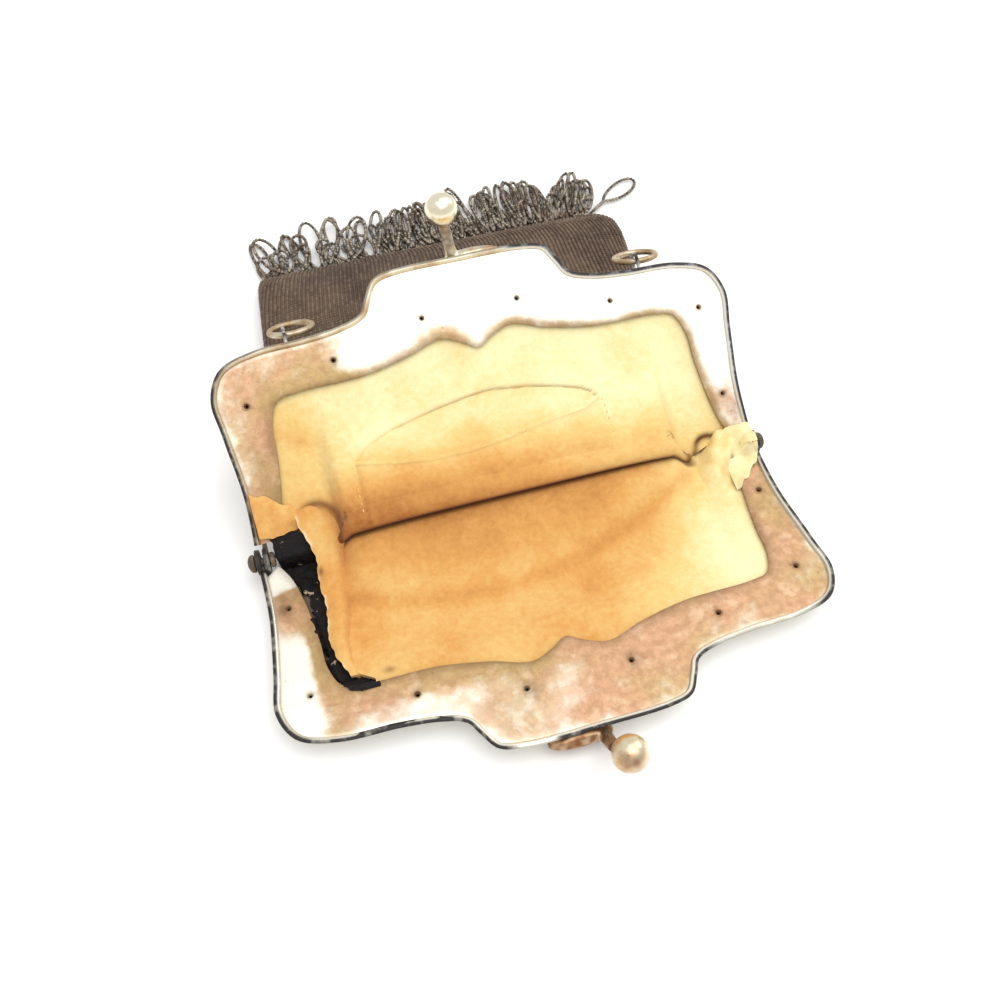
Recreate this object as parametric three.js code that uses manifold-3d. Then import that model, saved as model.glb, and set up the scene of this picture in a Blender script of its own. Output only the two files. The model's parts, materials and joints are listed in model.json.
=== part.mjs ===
// Chatelaine purse lying open on a table: a hinged white-metal frame, a bead-knit bag with a
// looped fringe, and a chamois lining that has torn loose at one corner.
// Millimetres, +Z up. The origin is on the table, under the middle of the hinge line.
// The front half of the frame lies flat towards -Y and the bag lies towards +Y.
// The back half of the frame is swung back over the bag.

import * as THREE from "three";
import Module from "manifold-3d";
import { mergeVertices } from "three/addons/utils/BufferGeometryUtils.js";

const wasm = await Module();
wasm.setup();

// Frame
const TRAY_DEPTH = 5.2; // outer face to rim edge, so also the height of the hinge line
const BACK_RISE = THREE.MathUtils.degToRad(36.6); // back half above the table
const RIM_WALL = 0.9;
const OUTER_PLATE = 0.7;
const INNER_PLATE = 0.6;
const INNER_PLATE_DROP = 0.6; // below the rim edge
const GAP = 0.3; // between pieces that lie against each other
const RIM_STEPS = 72;
const WINDOW_STEPS = 52;

// Right half of the rim, hinge to centre: distance from the middle and from the hinge line
const RIM = [
  { place: "hinge", x: 50.0, h: 0.0 },
  { place: "waist", x: 49.6, h: 12.0 },
  { place: "flare", x: 50.7, h: 24.0 },
  { place: "shoulder side", x: 51.3, h: 31.0 },
  { place: "shoulder corner", x: 48.6, h: 36.2 },
  { place: "shoulder top", x: 42.0, h: 38.4 },
  { place: "shoulder", x: 32.0, h: 38.9 },
  { place: "foot of step", x: 25.6, h: 39.6 },
  { place: "step", x: 20.8, h: 41.2 },
  { place: "middle of step", x: 19.2, h: 43.8 },
  { place: "head of step", x: 17.0, h: 47.0 },
  { place: "top", x: 12.5, h: 48.1 },
  { place: "centre", x: 0.0, h: 48.3 },
];

// Wavy edge of the plates round the window that the bag is sewn into
const WINDOW = [
  { place: "hinge", x: 47.0, h: 0.6 },
  { place: "arm foot", x: 44.8, h: 4.2 },
  { place: "arm", x: 43.2, h: 10.0 },
  { place: "arm middle", x: 41.9, h: 19.0 },
  { place: "arm top", x: 41.5, h: 24.5 },
  { place: "corner", x: 39.6, h: 28.5 },
  { place: "ledge", x: 36.0, h: 29.3 },
  { place: "ledge end", x: 23.0, h: 29.7 },
  { place: "swell", x: 14.0, h: 31.4 },
  { place: "crest", x: 7.0, h: 33.4 },
  { place: "dip", x: 3.0, h: 32.0 },
  { place: "point", x: 0.0, h: 30.4 },
];

// Sewing holes through each inner plate
const HOLE_RADIUS = 0.6;
const HOLES = [
  { x: 46.2, h: 10.9 },
  { x: 45.3, h: 28.8 },
  { x: 27.7, h: 33.8 },
  { x: 9.5, h: 38.1 },
];

// Hinges
const EAR_RADIUS = 2.4;
const EAR_THICKNESS = 0.9;
const FRONT_EAR_X = 49.85;
const BACK_EAR_X = 48.35;
const PIN_RADIUS = 0.8;
const PIN_HOLE_RADIUS = PIN_RADIUS + GAP;
const PIN_HEAD_RADIUS = 1.7;
const BACK_WALL_START = 3.2; // leaves room for the front half's ear
const PLATE_START = 3.2;

// Snap clasp: two balls on leaning stalks that pass each other
const BALL = { x: -1.95, h: 56.0, z: 5.5, radius: 3.1 };
const CLASP_LEAF = { left: -2.6, right: 9.0, z: -2.5, halfHeight: 1.5, thickness: 1.5 };
const CLASP_SHANK = { x: 1.5, radius: 0.8, headRadius: 1.2, headThickness: 0.8 };
const STALK_FOOT = { x: -0.8, h: 49.4, z: -2.0 };
const STALK_RADIUS = 1.15;

// Chatelaine rings in eyes on the back half's shoulders
const EYE = { x: 35.5, h: 41.6, z: -3.4, radius: 1.75, hole: 1.15, thickness: 1.1 };
const RING_RADIUS = 4.2;
const RING_WIRE = 0.6;
const RING_LEAN = THREE.MathUtils.degToRad(50); // stands out from hanging straight down
const RING_SLIP = THREE.MathUtils.degToRad(20); // slid sideways in its eye

// Cloth
const KNIT = 1.4;
const CHAMOIS = 1.0;
const LAYER = KNIT / 2 + 0.35 + CHAMOIS / 2; // middle of knit to middle of chamois
const KNIT_TUCK = 3.5; // middle of the knit below the rim edge, between the plates
const LINING_TUCK = 2.0;
const TUCK_HALF_WIDTH = 43.5;
const TUCK_HEIGHT = 31.8; // from the hinge line
const TUCK_CREST = { rise: 3.6, halfWidth: 13 };
const SEAM_GAP = 0.3;

// Outline of the bag as it lies, slipped a little to the right
const BAG_SIDES = [
  { y: 2, left: -41.0, right: 41.5 },
  { y: 20, left: -41.0, right: 42.5 },
  { y: 40, left: -40.7, right: 44.0 },
  { y: 57, left: -40.3, right: 45.4 },
  { y: 70, left: -39.5, right: 47.3 },
  { y: 76, left: -39.1, right: 46.9 },
  { y: 79.5, left: -38.4, right: 43.0 },
];
const HEM = 79.5;

// Height of the back panel's middle surface above the table, hem to mouth
const BAG_TOP = [
  { y: 79.3, z: 2.6 },
  { y: 78, z: 4.0 },
  { y: 75, z: 5.6 },
  { y: 68, z: 7.2 },
  { y: 57, z: 8.6 },
  { y: 40, z: 9.7 },
  { y: 20, z: 10.2 },
  { y: 8, z: 10.3 },
];
const LINING_SIDE_INSET = 3.8;
const LINING_HEM = 73.5;
// Folds at the mouth: each comes down to the hinges between lowFrom and lowTo from the middle,
// and its slope lies along the plate above the share flatFrom
const KNIT_FOLD = { y: 7.4, radius: 0.9, halfWidth: 35, lowFrom: 30, lowTo: 37, flatFrom: 0.6 };
const LIP = { y: 0.65, radius: 1.6, halfWidth: 37, lowFrom: 34, lowTo: 41, flatFrom: 0.8 };
// The side seams stop short of the mouth, where both panels draw in
const SEAM_STOP = { from: 8, to: 22, drawIn: 5.5, knitEdge: 7.6 };
const SLOPE_ANGLE = THREE.MathUtils.degToRad(22);
const PILLOW = 4; // squareness of the bag's section
const BACK_COLUMNS = 20;

// Left edge of the front lining where it has torn from the frame
const TEAR = [
  { y: -40, x: -33.0 },
  { y: -28.4, x: -34.0 },
  { y: -26.6, x: -36.6 },
  { y: -25.2, x: -38.2 },
  { y: -21.0, x: -39.8 },
  { y: -17.0, x: -40.2 },
  { y: -12.4, x: -39.3 },
  { y: -6.0, x: -39.8 },
  { y: 2.0, x: -39.2 },
];

// Pocket on the back lining: its free upper edge, as distance up the slope
const POCKET_MOUTH = [
  { x: -30.0, y: 9.8 },
  { x: -22.0, y: 8.3 },
  { x: -11.0, y: 6.9 },
  { x: -3.0, y: 7.0 },
  { x: 5.0, y: 8.4 },
  { x: 13.0, y: 9.6 },
  { x: 20.5, y: 11.6 },
];

// Outer form of the looped fringe
const FRINGE_TOP = 2.6;
const FRINGE_START = HEM + KNIT / 2 + 0.4;
const FRINGE_ENDS = [
  { x: -39.8, y: 97.0 },
  { x: -30.0, y: 98.5 },
  { x: -17.0, y: 99.5 },
  { x: -8.0, y: 97.0 },
  { x: 10.0, y: 100.5 },
  { x: 28.0, y: 101.5 },
  { x: 38.0, y: 98.0 },
  { x: 51.0, y: 95.0 },
];

// Finishes
const SILVER = new THREE.MeshStandardMaterial({ color: 0xd9d0c0, roughness: 0.35, metalness: 1 });
const PLATE = new THREE.MeshStandardMaterial({ color: 0xe2c8aa, roughness: 0.45, metalness: 1 });
const BEAD_KNIT = new THREE.MeshStandardMaterial({ color: 0x6b5a49, roughness: 0.7, metalness: 0.2 });
const LEATHER = new THREE.MeshStandardMaterial({ color: 0xf0c276, roughness: 0.9, metalness: 0 });
const STEEL_BEADS = new THREE.MeshStandardMaterial({ color: 0x5c584f, roughness: 0.4, metalness: 0.9 });

// Booleans on closed meshes

function toSolid(geometry) {
  const bare = new THREE.BufferGeometry();
  bare.setAttribute("position", geometry.getAttribute("position"));
  bare.setIndex(geometry.getIndex());
  const merged = mergeVertices(bare, 1e-4);
  const vertProperties = Float32Array.from(merged.getAttribute("position").array);
  const triVerts = Uint32Array.from(merged.getIndex().array);
  return new wasm.Manifold(new wasm.Mesh({ numProp: 3, vertProperties, triVerts }));
}

function toGeometry(solid) {
  const mesh = solid.getMesh();
  const geometry = new THREE.BufferGeometry();
  geometry.setAttribute("position", new THREE.BufferAttribute(mesh.vertProperties, 3));
  geometry.setIndex(new THREE.BufferAttribute(mesh.triVerts, 1));
  geometry.computeVertexNormals();
  return geometry;
}

function joined(geometries) {
  return geometries.map(toSolid).reduce((whole, next) => whole.add(next));
}

function cutBy(solid, geometries) {
  return geometries.map(toSolid).reduce((whole, tool) => whole.subtract(tool), solid);
}

// Small helpers

function smooth(value, from, to) {
  return THREE.MathUtils.smoothstep(value, from, to);
}

// Straight-line reading of a short table, held at its ends
function reading(table, key, value, at) {
  const last = table.length - 1;
  if (at <= table[0][key]) return table[0][value];
  if (at >= table[last][key]) return table[last][value];
  const next = table.findIndex((row) => row[key] >= at);
  const a = table[next - 1];
  const b = table[next];
  return THREE.MathUtils.mapLinear(at, a[key], b[key], a[value], b[value]);
}

function box(x0, x1, y0, y1, z0, z1) {
  const geometry = new THREE.BoxGeometry(x1 - x0, y1 - y0, z1 - z0);
  return geometry.translate((x0 + x1) / 2, (y0 + y1) / 2, (z0 + z1) / 2);
}

function rodAlongX(radius, x0, x1, sides) {
  const rod = new THREE.CylinderGeometry(radius, radius, x1 - x0, sides);
  return rod.rotateZ(Math.PI / 2).translate((x0 + x1) / 2, 0, 0);
}

function rodAlongH(radius, h0, h1, x, z, sides) {
  const rod = new THREE.CylinderGeometry(radius, radius, h1 - h0, sides);
  return rod.translate(x, (h0 + h1) / 2, z);
}

// Frame halves. Local axes: x across, y up the half from the hinge line, z up from the rim edge.

function mirroredCurve(rows, steps) {
  const right = rows.map((row) => new THREE.Vector3(row.x, row.h, 0));
  const left = rows.slice(0, -1).reverse().map((row) => new THREE.Vector3(-row.x, row.h, 0));
  const curve = new THREE.CatmullRomCurve3([...right, ...left], false, "centripetal");
  return curve.getSpacedPoints(steps).map((point) => new THREE.Vector2(point.x, point.y));
}

function inset(points, distance) {
  return points.map((point, i) => {
    const before = points[Math.max(i - 1, 0)];
    const after = points[Math.min(i + 1, points.length - 1)];
    const along = after.clone().sub(before).normalize();
    return new THREE.Vector2(point.x - along.y * distance, point.y + along.x * distance);
  });
}

function band(outer, inner, z0, thickness) {
  const shape = new THREE.Shape([...outer, ...inner.slice().reverse()]);
  const geometry = new THREE.ExtrudeGeometry(shape, { depth: thickness, bevelEnabled: false });
  return geometry.translate(0, 0, z0);
}

const rim = mirroredCurve(RIM, RIM_STEPS);
const windowEdge = mirroredCurve(WINDOW, WINDOW_STEPS);
const topOfRim = RIM[RIM.length - 1].h;

function tray(wallStart) {
  const wallPoints = rim.filter((point) => point.y >= wallStart);
  const wall = band(wallPoints, inset(wallPoints, RIM_WALL), -TRAY_DEPTH, TRAY_DEPTH);
  const floor = band(inset(rim, RIM_WALL / 3), windowEdge, -TRAY_DEPTH, OUTER_PLATE);
  const hole = CLASP_SHANK.radius + GAP;
  const shankHole = rodAlongH(
    hole, topOfRim - 3, topOfRim + 3, CLASP_SHANK.x, CLASP_LEAF.z, 16);
  return cutBy(joined([wall, floor]), [shankHole]);
}

function ear(side, x) {
  const half = EAR_THICKNESS / 2;
  return rodAlongX(EAR_RADIUS, side * x - half, side * x + half, 20);
}

function frontFrame() {
  const ears = [-1, 1].map((side) => ear(side, FRONT_EAR_X));
  const body = joined(ears).add(tray(0));
  return toGeometry(cutBy(body, [rodAlongX(PIN_HOLE_RADIUS, -60, 60, 16)]));
}

// The back half's ears stand inside the front half's, on short arms from the wall
function backEar(side) {
  const inner = BACK_EAR_X - EAR_THICKNESS / 2;
  const outer = BACK_EAR_X + EAR_THICKNESS / 2;
  const arm = { length: 7, low: -4.2, high: -1.6 };
  const strip = (x0, x1, h0) => {
    const [a, b] = side > 0 ? [x0, x1] : [-x1, -x0];
    return box(a, b, h0, arm.length, arm.low, arm.high);
  };
  return [ear(side, BACK_EAR_X), strip(inner, outer, 0.5), strip(outer - 0.2, 49.7, BACK_WALL_START)];
}

function ringEye(side) {
  const shape = new THREE.Shape();
  const foot = 38.3;
  shape.moveTo(foot, EYE.z - EYE.radius);
  shape.lineTo(EYE.h, EYE.z - EYE.radius);
  shape.absarc(EYE.h, EYE.z, EYE.radius, -Math.PI / 2, Math.PI / 2, false);
  shape.lineTo(foot, EYE.z + EYE.radius);
  const hole = new THREE.Path();
  hole.absarc(EYE.h, EYE.z, EYE.hole, 0, Math.PI * 2, true);
  shape.holes.push(hole);
  const settings = { depth: EYE.thickness, bevelEnabled: false, curveSegments: 10 };
  const plate = new THREE.ExtrudeGeometry(shape, settings);
  // shape's first axis is h, its second is z, and its depth runs along x
  const turn = new THREE.Matrix4().makeBasis(
    new THREE.Vector3(0, 1, 0), new THREE.Vector3(0, 0, 1), new THREE.Vector3(1, 0, 0));
  return plate.applyMatrix4(turn).translate(side * EYE.x - EYE.thickness / 2, 0, 0);
}

function backFrame() {
  const fittings = [-1, 1].flatMap((side) => [...backEar(side), ringEye(side)]);
  const body = tray(BACK_WALL_START).add(joined(fittings));
  return toGeometry(cutBy(body, [rodAlongX(PIN_HOLE_RADIUS, -60, 60, 16)]));
}

function innerPlate() {
  const z0 = -INNER_PLATE_DROP - INNER_PLATE;
  const plate = band(inset(rim, RIM_WALL + GAP), windowEdge, z0, INNER_PLATE);
  const holes = HOLES.flatMap((hole) => [-1, 1].map((side) => {
    const drill = new THREE.CylinderGeometry(HOLE_RADIUS, HOLE_RADIUS, 4, 12);
    return drill.rotateX(Math.PI / 2).translate(side * hole.x, hole.h, z0);
  }));
  const hingeRoom = box(-60, 60, -5, PLATE_START, -5, 5);
  return toGeometry(cutBy(toSolid(plate), [hingeRoom, ...holes]));
}

function claspKnob() {
  const leafStart = topOfRim + GAP;
  const leaf = new THREE.Shape();
  const middle = (CLASP_LEAF.left + CLASP_LEAF.right) / 2;
  leaf.moveTo(CLASP_LEAF.left, 0);
  leaf.quadraticCurveTo(middle, -2 * CLASP_LEAF.halfHeight, CLASP_LEAF.right, 0);
  leaf.quadraticCurveTo(middle, 2 * CLASP_LEAF.halfHeight, CLASP_LEAF.left, 0);
  const settings = { depth: CLASP_LEAF.thickness, bevelEnabled: false, curveSegments: 10 };
  const base = new THREE.ExtrudeGeometry(leaf, settings);
  // the leaf lies on the rim's outer wall: its second axis is -z and its depth runs along h
  base.rotateX(-Math.PI / 2).translate(0, leafStart, CLASP_LEAF.z);

  const foot = new THREE.Vector3(STALK_FOOT.x, STALK_FOOT.h, STALK_FOOT.z);
  const centre = new THREE.Vector3(BALL.x, BALL.h, BALL.z);
  const along = centre.clone().sub(foot);
  const stalk = new THREE.CylinderGeometry(STALK_RADIUS * 0.8, STALK_RADIUS, along.length(), 10);
  const turn = new THREE.Quaternion().setFromUnitVectors(
    new THREE.Vector3(0, 1, 0), along.clone().normalize());
  stalk.applyQuaternion(turn).translate(
    (foot.x + centre.x) / 2, (foot.y + centre.y) / 2, (foot.z + centre.z) / 2);
  const ball = new THREE.SphereGeometry(BALL.radius, 16, 10).translate(BALL.x, BALL.h, BALL.z);

  const headEnd = topOfRim - RIM_WALL - GAP;
  const head = headEnd - CLASP_SHANK.headThickness;
  const shank = rodAlongH(
    CLASP_SHANK.radius, head, leafStart + 0.5, CLASP_SHANK.x, CLASP_LEAF.z, 12);
  const rivet = rodAlongH(CLASP_SHANK.headRadius, head, headEnd, CLASP_SHANK.x, CLASP_LEAF.z, 12);
  return toGeometry(joined([base, stalk, ball, shank, rivet]));
}

function hingePin(side) {
  const inside = BACK_EAR_X - EAR_THICKNESS / 2 - GAP;
  const outside = FRONT_EAR_X + EAR_THICKNESS / 2 + GAP;
  const profile = [
    [0, inside - 0.8],
    [PIN_HEAD_RADIUS * 0.85, inside - 0.8],
    [PIN_HEAD_RADIUS * 0.85, inside],
    [PIN_RADIUS, inside],
    [PIN_RADIUS, outside],
    [PIN_HEAD_RADIUS, outside],
    [PIN_HEAD_RADIUS * 0.95, outside + 0.7],
    [PIN_HEAD_RADIUS * 0.6, outside + 1.15],
    [0, outside + 1.3],
  ];
  const pin = new THREE.LatheGeometry(profile.map(([r, along]) => new THREE.Vector2(r, along)), 16);
  return pin.rotateZ(side > 0 ? -Math.PI / 2 : Math.PI / 2);
}

function ring() {
  const torus = new THREE.TorusGeometry(RING_RADIUS, RING_WIRE, 7, 24);
  return torus.rotateX(Math.PI / 2 + RING_LEAN);
}

// Middle of a ring whose wire runs through the eye's hole
function ringCentre(side) {
  const rise = new THREE.Vector3(0, Math.cos(BACK_RISE), Math.sin(BACK_RISE));
  const up = new THREE.Vector3(0, -Math.sin(BACK_RISE), Math.cos(BACK_RISE));
  const eye = new THREE.Vector3(side * EYE.x, 0, TRAY_DEPTH);
  eye.addScaledVector(rise, EYE.h).addScaledVector(up, EYE.z);
  const hang = new THREE.Vector3(0, Math.sin(RING_LEAN), -Math.cos(RING_LEAN));
  const reach = hang.multiplyScalar(Math.cos(RING_SLIP)).setX(Math.sin(RING_SLIP));
  return eye.addScaledVector(reach, RING_RADIUS);
}

// Cloth: a grid of middle-surface points given its thickness as one closed body

function grid(rows, columns, pointAt) {
  const count = (n) => Array.from({ length: n + 1 }, (_, i) => i / n);
  return count(rows).map((v) => count(columns).map((s) => pointAt(2 * s - 1, v)));
}

function thickSheet(points, thickness) {
  const rows = points.length;
  const columns = points[0].length;
  const faces = [];
  const corners = [];
  const clampRow = (i) => points[Math.min(Math.max(i, 0), rows - 1)];
  const clampColumn = (row, j) => row[Math.min(Math.max(j, 0), columns - 1)];
  for (const level of [0.5, -0.5]) {
    points.forEach((row, i) => row.forEach((point, j) => {
      const across = clampColumn(row, j + 1).clone().sub(clampColumn(row, j - 1));
      const along = clampRow(i + 1)[j].clone().sub(clampRow(i - 1)[j]);
      const normal = across.cross(along).normalize();
      corners.push(point.clone().addScaledVector(normal, level * thickness));
    }));
  }
  const top = (i, j) => i * columns + j;
  const bottom = (i, j) => rows * columns + top(i, j);
  const quad = (a, b, c, d) => faces.push(a, b, c, a, c, d);
  for (let i = 0; i < rows - 1; i += 1) {
    for (let j = 0; j < columns - 1; j += 1) {
      quad(top(i, j), top(i, j + 1), top(i + 1, j + 1), top(i + 1, j));
      quad(bottom(i, j), bottom(i + 1, j), bottom(i + 1, j + 1), bottom(i, j + 1));
    }
    quad(top(i, 0), top(i + 1, 0), bottom(i + 1, 0), bottom(i, 0));
    const end = columns - 1;
    quad(top(i + 1, end), top(i, end), bottom(i, end), bottom(i + 1, end));
  }
  for (let j = 0; j < columns - 1; j += 1) {
    const end = rows - 1;
    quad(top(0, j + 1), top(0, j), bottom(0, j), bottom(0, j + 1));
    quad(top(end, j), top(end, j + 1), bottom(end, j + 1), bottom(end, j));
  }
  const geometry = new THREE.BufferGeometry();
  const flat = corners.flatMap((corner) => [corner.x, corner.y, corner.z]);
  geometry.setAttribute("position", new THREE.Float32BufferAttribute(flat, 3));
  geometry.setIndex(faces);
  geometry.computeVertexNormals();
  return geometry;
}

// How far up each half the cloth is tucked under the inner plate
function tuckHeight(x) {
  const crest = 1 - smooth(Math.abs(x), TUCK_CREST.halfWidth * 0.4, TUCK_CREST.halfWidth * 1.6);
  return TUCK_HEIGHT + TUCK_CREST.rise * crest;
}

// Front panels: from under the front plate, across the hinge line and along the table to the hem
function frontPanel({ low, lift, left, right, hem, rows, columns, thickness }) {
  const WINDOW_SHARE = 0.42;
  const pointAt = (u, v) => {
    const edge = -tuckHeight(u * TUCK_HALF_WIDTH);
    const y = v < WINDOW_SHARE
      ? edge * (1 - v / WINDOW_SHARE)
      : (hem * (v - WINDOW_SHARE)) / (1 - WINDOW_SHARE);
    const x = THREE.MathUtils.mapLinear(u, -1, 1, left(y), right(y));
    const nearArm = smooth(Math.abs(x), 35.5, 40.5) * smooth(-y, 2, 9);
    const nearLedge = smooth(-y, 22, 28.3);
    const raised = Math.max(nearArm, nearLedge);
    return new THREE.Vector3(x, y, low + lift * raised);
  };
  return thickSheet(grid(rows, columns, pointAt), thickness);
}

function frontSide(side, y, slack) {
  const hinge = reading(BAG_SIDES, "y", side, 0);
  const tucked = Math.sign(hinge) * TUCK_HALF_WIDTH;
  const bagSide = reading(BAG_SIDES, "y", side, y) + Math.sign(hinge) * slack;
  return THREE.MathUtils.lerp(bagSide, tucked, smooth(-y, -1, 8));
}

function bagFront() {
  return frontPanel({
    low: KNIT / 2,
    lift: TRAY_DEPTH - KNIT_TUCK - KNIT / 2,
    left: (y) => frontSide("left", y, KNIT / 2),
    right: (y) => frontSide("right", y, KNIT / 2),
    hem: HEM + KNIT / 2,
    rows: 19,
    columns: 10,
    thickness: KNIT,
  });
}

const liningFloor = KNIT + 0.35 + CHAMOIS / 2;

function liningFront() {
  return frontPanel({
    low: liningFloor,
    lift: TRAY_DEPTH - LINING_TUCK - liningFloor,
    left: (y) => Math.max(frontSide("left", y, -LINING_SIDE_INSET), reading(TEAR, "y", "x", y)),
    right: (y) => frontSide("right", y, -LINING_SIDE_INSET),
    hem: LINING_HEM + CHAMOIS / 2,
    rows: 26,
    columns: 12,
    thickness: CHAMOIS,
  });
}

// Height, on the back half's plane sunk by a tuck depth, over a place on the table
function backPlaneHeight(y, tuck) {
  const up = (y - tuck * Math.sin(BACK_RISE)) / Math.cos(BACK_RISE);
  return TRAY_DEPTH + up * Math.sin(BACK_RISE) - tuck * Math.cos(BACK_RISE);
}

function tuckPlace(x, tuck) {
  return tuckHeight(x) * Math.cos(BACK_RISE) + tuck * Math.sin(BACK_RISE);
}

// Section of the lying bag: flat on top, with round sides that come down to the front panel
function pillow(share) {
  return (1 - Math.abs(share) ** PILLOW) ** (1 / PILLOW);
}

// Columns crowd towards the sides, where the section turns down
function spread(u) {
  return u * (2 - Math.abs(u));
}

// A back panel in three runs: hem to mouth over the bag, round its fold, and up to the back plate
function backPanel({ tops, drop, inset: sideInset, edge, mouthEdge, fold, tuck }) {
  const mouth = tops[tops.length - 1];
  const drawnIn = (y) => 1 - smooth(y, SEAM_STOP.from, SEAM_STOP.to);
  const halfAt = (side, y) => {
    const full = Math.abs(reading(BAG_SIDES, "y", side, y));
    return full - sideInset - SEAM_STOP.drawIn * drawnIn(y);
  };
  const foldBottom = (x) => {
    const share = Math.min(Math.abs(x) / (fold.halfWidth + 1.5), 0.999);
    return mouthEdge + (mouth.z - drop - mouthEdge) * pillow(share);
  };
  const foldTop = (x) => {
    const full = foldBottom(x) + 2 * fold.radius;
    const low = backPlaneHeight(fold.y, tuck) + 2;
    const toArm = smooth(Math.abs(x), fold.lowFrom, fold.lowTo);
    return THREE.MathUtils.lerp(full, Math.min(full, low), toArm);
  };

  const overBag = (u, row) => {
    const share = spread(u);
    const half = halfAt(share < 0 ? "left" : "right", row.y);
    const low = THREE.MathUtils.lerp(edge, mouthEdge, drawnIn(row.y));
    const z = low + (row.z - drop - low) * pillow(share);
    return new THREE.Vector3(share * half, row.y, z);
  };

  const start = -Math.PI / 2;
  const end = -(3 * Math.PI) / 2 + SLOPE_ANGLE;
  const onFold = (x, angle) => {
    const radius = Math.max((foldTop(x) - foldBottom(x)) / 2, 0.3);
    const middle = foldBottom(x) + radius;
    return new THREE.Vector3(
      x, fold.y + radius * Math.cos(angle), middle + radius * Math.sin(angle));
  };

  // Height of the sloping run, by its share of the way from the fold to the plate
  const onSlope = (x, share) => {
    const foot = onFold(x, end);
    const y = THREE.MathUtils.lerp(foot.y, tuckPlace(x, tuck), share);
    const bulge = Math.max(0, 1 - share / fold.flatFrom);
    const toArm = smooth(Math.abs(x), fold.lowFrom, fold.lowTo);
    const lift = (foot.z - backPlaneHeight(foot.y, tuck)) * bulge * (1 - toArm);
    return new THREE.Vector3(x, y, backPlaneHeight(y, tuck) + lift);
  };
  const upSlope = (u, share) => {
    const half = THREE.MathUtils.lerp(fold.halfWidth, TUCK_HALF_WIDTH, smooth(share, 0, 0.5));
    return onSlope(spread(u) * half, share);
  };
  const slopeHeight = (x, y) => {
    const foot = onFold(x, end).y;
    return onSlope(x, (y - foot) / (tuckPlace(x, tuck) - foot)).z;
  };

  const FOLD_ROWS = 5;
  const SLOPE_SHARES = [0.12, 0.3, 0.5, 0.7, 0.85, 1];
  const turns = Array.from({ length: FOLD_ROWS + 1 }, (_, i) => i / FOLD_ROWS);
  const rows = [
    ...tops.map((row) => (u) => overBag(u, row)),
    ...turns.map((t) => (u) => onFold(
      spread(u) * fold.halfWidth, THREE.MathUtils.lerp(start, end, t))),
    ...SLOPE_SHARES.map((share) => (u) => upSlope(u, share)),
  ];
  const places = Array.from({ length: BACK_COLUMNS + 1 }, (_, j) => (2 * j) / BACK_COLUMNS - 1);
  return { points: rows.map((row) => places.map((u) => row(u))), slopeHeight };
}

const bagBackPanel = backPanel({
  tops: BAG_TOP,
  drop: 0,
  inset: 0,
  edge: KNIT + SEAM_GAP + KNIT / 3,
  mouthEdge: SEAM_STOP.knitEdge,
  fold: KNIT_FOLD,
  tuck: KNIT_TUCK,
});

const liningEdge = liningFloor + CHAMOIS / 2 + SEAM_GAP + CHAMOIS / 3;
const liningBackPanel = backPanel({
  tops: [
    { y: LINING_HEM, z: liningEdge + 0.6 + LAYER },
    ...BAG_TOP.filter((row) => row.y < LINING_HEM - 3),
  ],
  drop: LAYER,
  inset: LINING_SIDE_INSET,
  edge: liningEdge,
  mouthEdge: liningEdge,
  fold: LIP,
  tuck: LINING_TUCK,
});

// The pocket lies on the sloping lining, from the lip up to its free edge
function liningPocket() {
  const above = (CHAMOIS + GAP + 0.1) / Math.cos(SLOPE_ANGLE);
  const first = POCKET_MOUTH[0].x;
  const last = POCKET_MOUTH[POCKET_MOUTH.length - 1].x;
  const bottom = LIP.y + 1.2;
  const pointAt = (u, v) => {
    const x = THREE.MathUtils.mapLinear(u, -1, 1, first, last);
    const y = THREE.MathUtils.lerp(bottom, reading(POCKET_MOUTH, "x", "y", x), v);
    return new THREE.Vector3(x, y, liningBackPanel.slopeHeight(x, y) + above);
  };
  return thickSheet(grid(4, 12, pointAt), CHAMOIS);
}

function fringe() {
  const first = FRINGE_ENDS[0];
  const last = FRINGE_ENDS[FRINGE_ENDS.length - 1];
  const hemLeft = reading(BAG_SIDES, "y", "left", HEM);
  const hemRight = reading(BAG_SIDES, "y", "right", HEM);
  const shape = new THREE.Shape();
  shape.moveTo(hemLeft, FRINGE_START);
  shape.lineTo(hemRight, FRINGE_START);
  shape.lineTo(last.x, (FRINGE_START + last.y) / 2);
  const ends = FRINGE_ENDS.map((row) => new THREE.Vector2(row.x, row.y)).reverse();
  shape.lineTo(ends[0].x, ends[0].y);
  shape.splineThru(ends.slice(1));
  shape.lineTo(first.x, first.y - 4);
  const settings = { depth: FRINGE_TOP, bevelEnabled: false, curveSegments: 4 };
  return new THREE.ExtrudeGeometry(shape, settings);
}

// Assembly

function piece(name, geometry, material) {
  const mesh = new THREE.Mesh(geometry, material);
  mesh.name = name;
  return mesh;
}

const purse = new THREE.Group();

const frontHalf = new THREE.Group();
frontHalf.position.z = TRAY_DEPTH;
frontHalf.rotation.z = Math.PI;
frontHalf.add(piece("front_frame", frontFrame(), SILVER));
frontHalf.add(piece("front_inner_plate", innerPlate(), PLATE));
frontHalf.add(piece("front_clasp_knob", claspKnob(), SILVER));

const backHalf = new THREE.Group();
backHalf.position.z = TRAY_DEPTH;
backHalf.rotation.x = BACK_RISE;
backHalf.add(piece("back_frame", backFrame(), SILVER));
backHalf.add(piece("back_inner_plate", innerPlate(), PLATE));
backHalf.add(piece("back_clasp_knob", claspKnob(), SILVER));

purse.add(frontHalf, backHalf);

for (const [name, side] of [["left", -1], ["right", 1]]) {
  const pin = piece(`hinge_pin_${name}`, hingePin(side), SILVER);
  pin.position.z = TRAY_DEPTH;
  const chatelaineRing = piece(`ring_${name}`, ring(), SILVER);
  chatelaineRing.position.copy(ringCentre(side));
  purse.add(pin, chatelaineRing);
}

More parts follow.
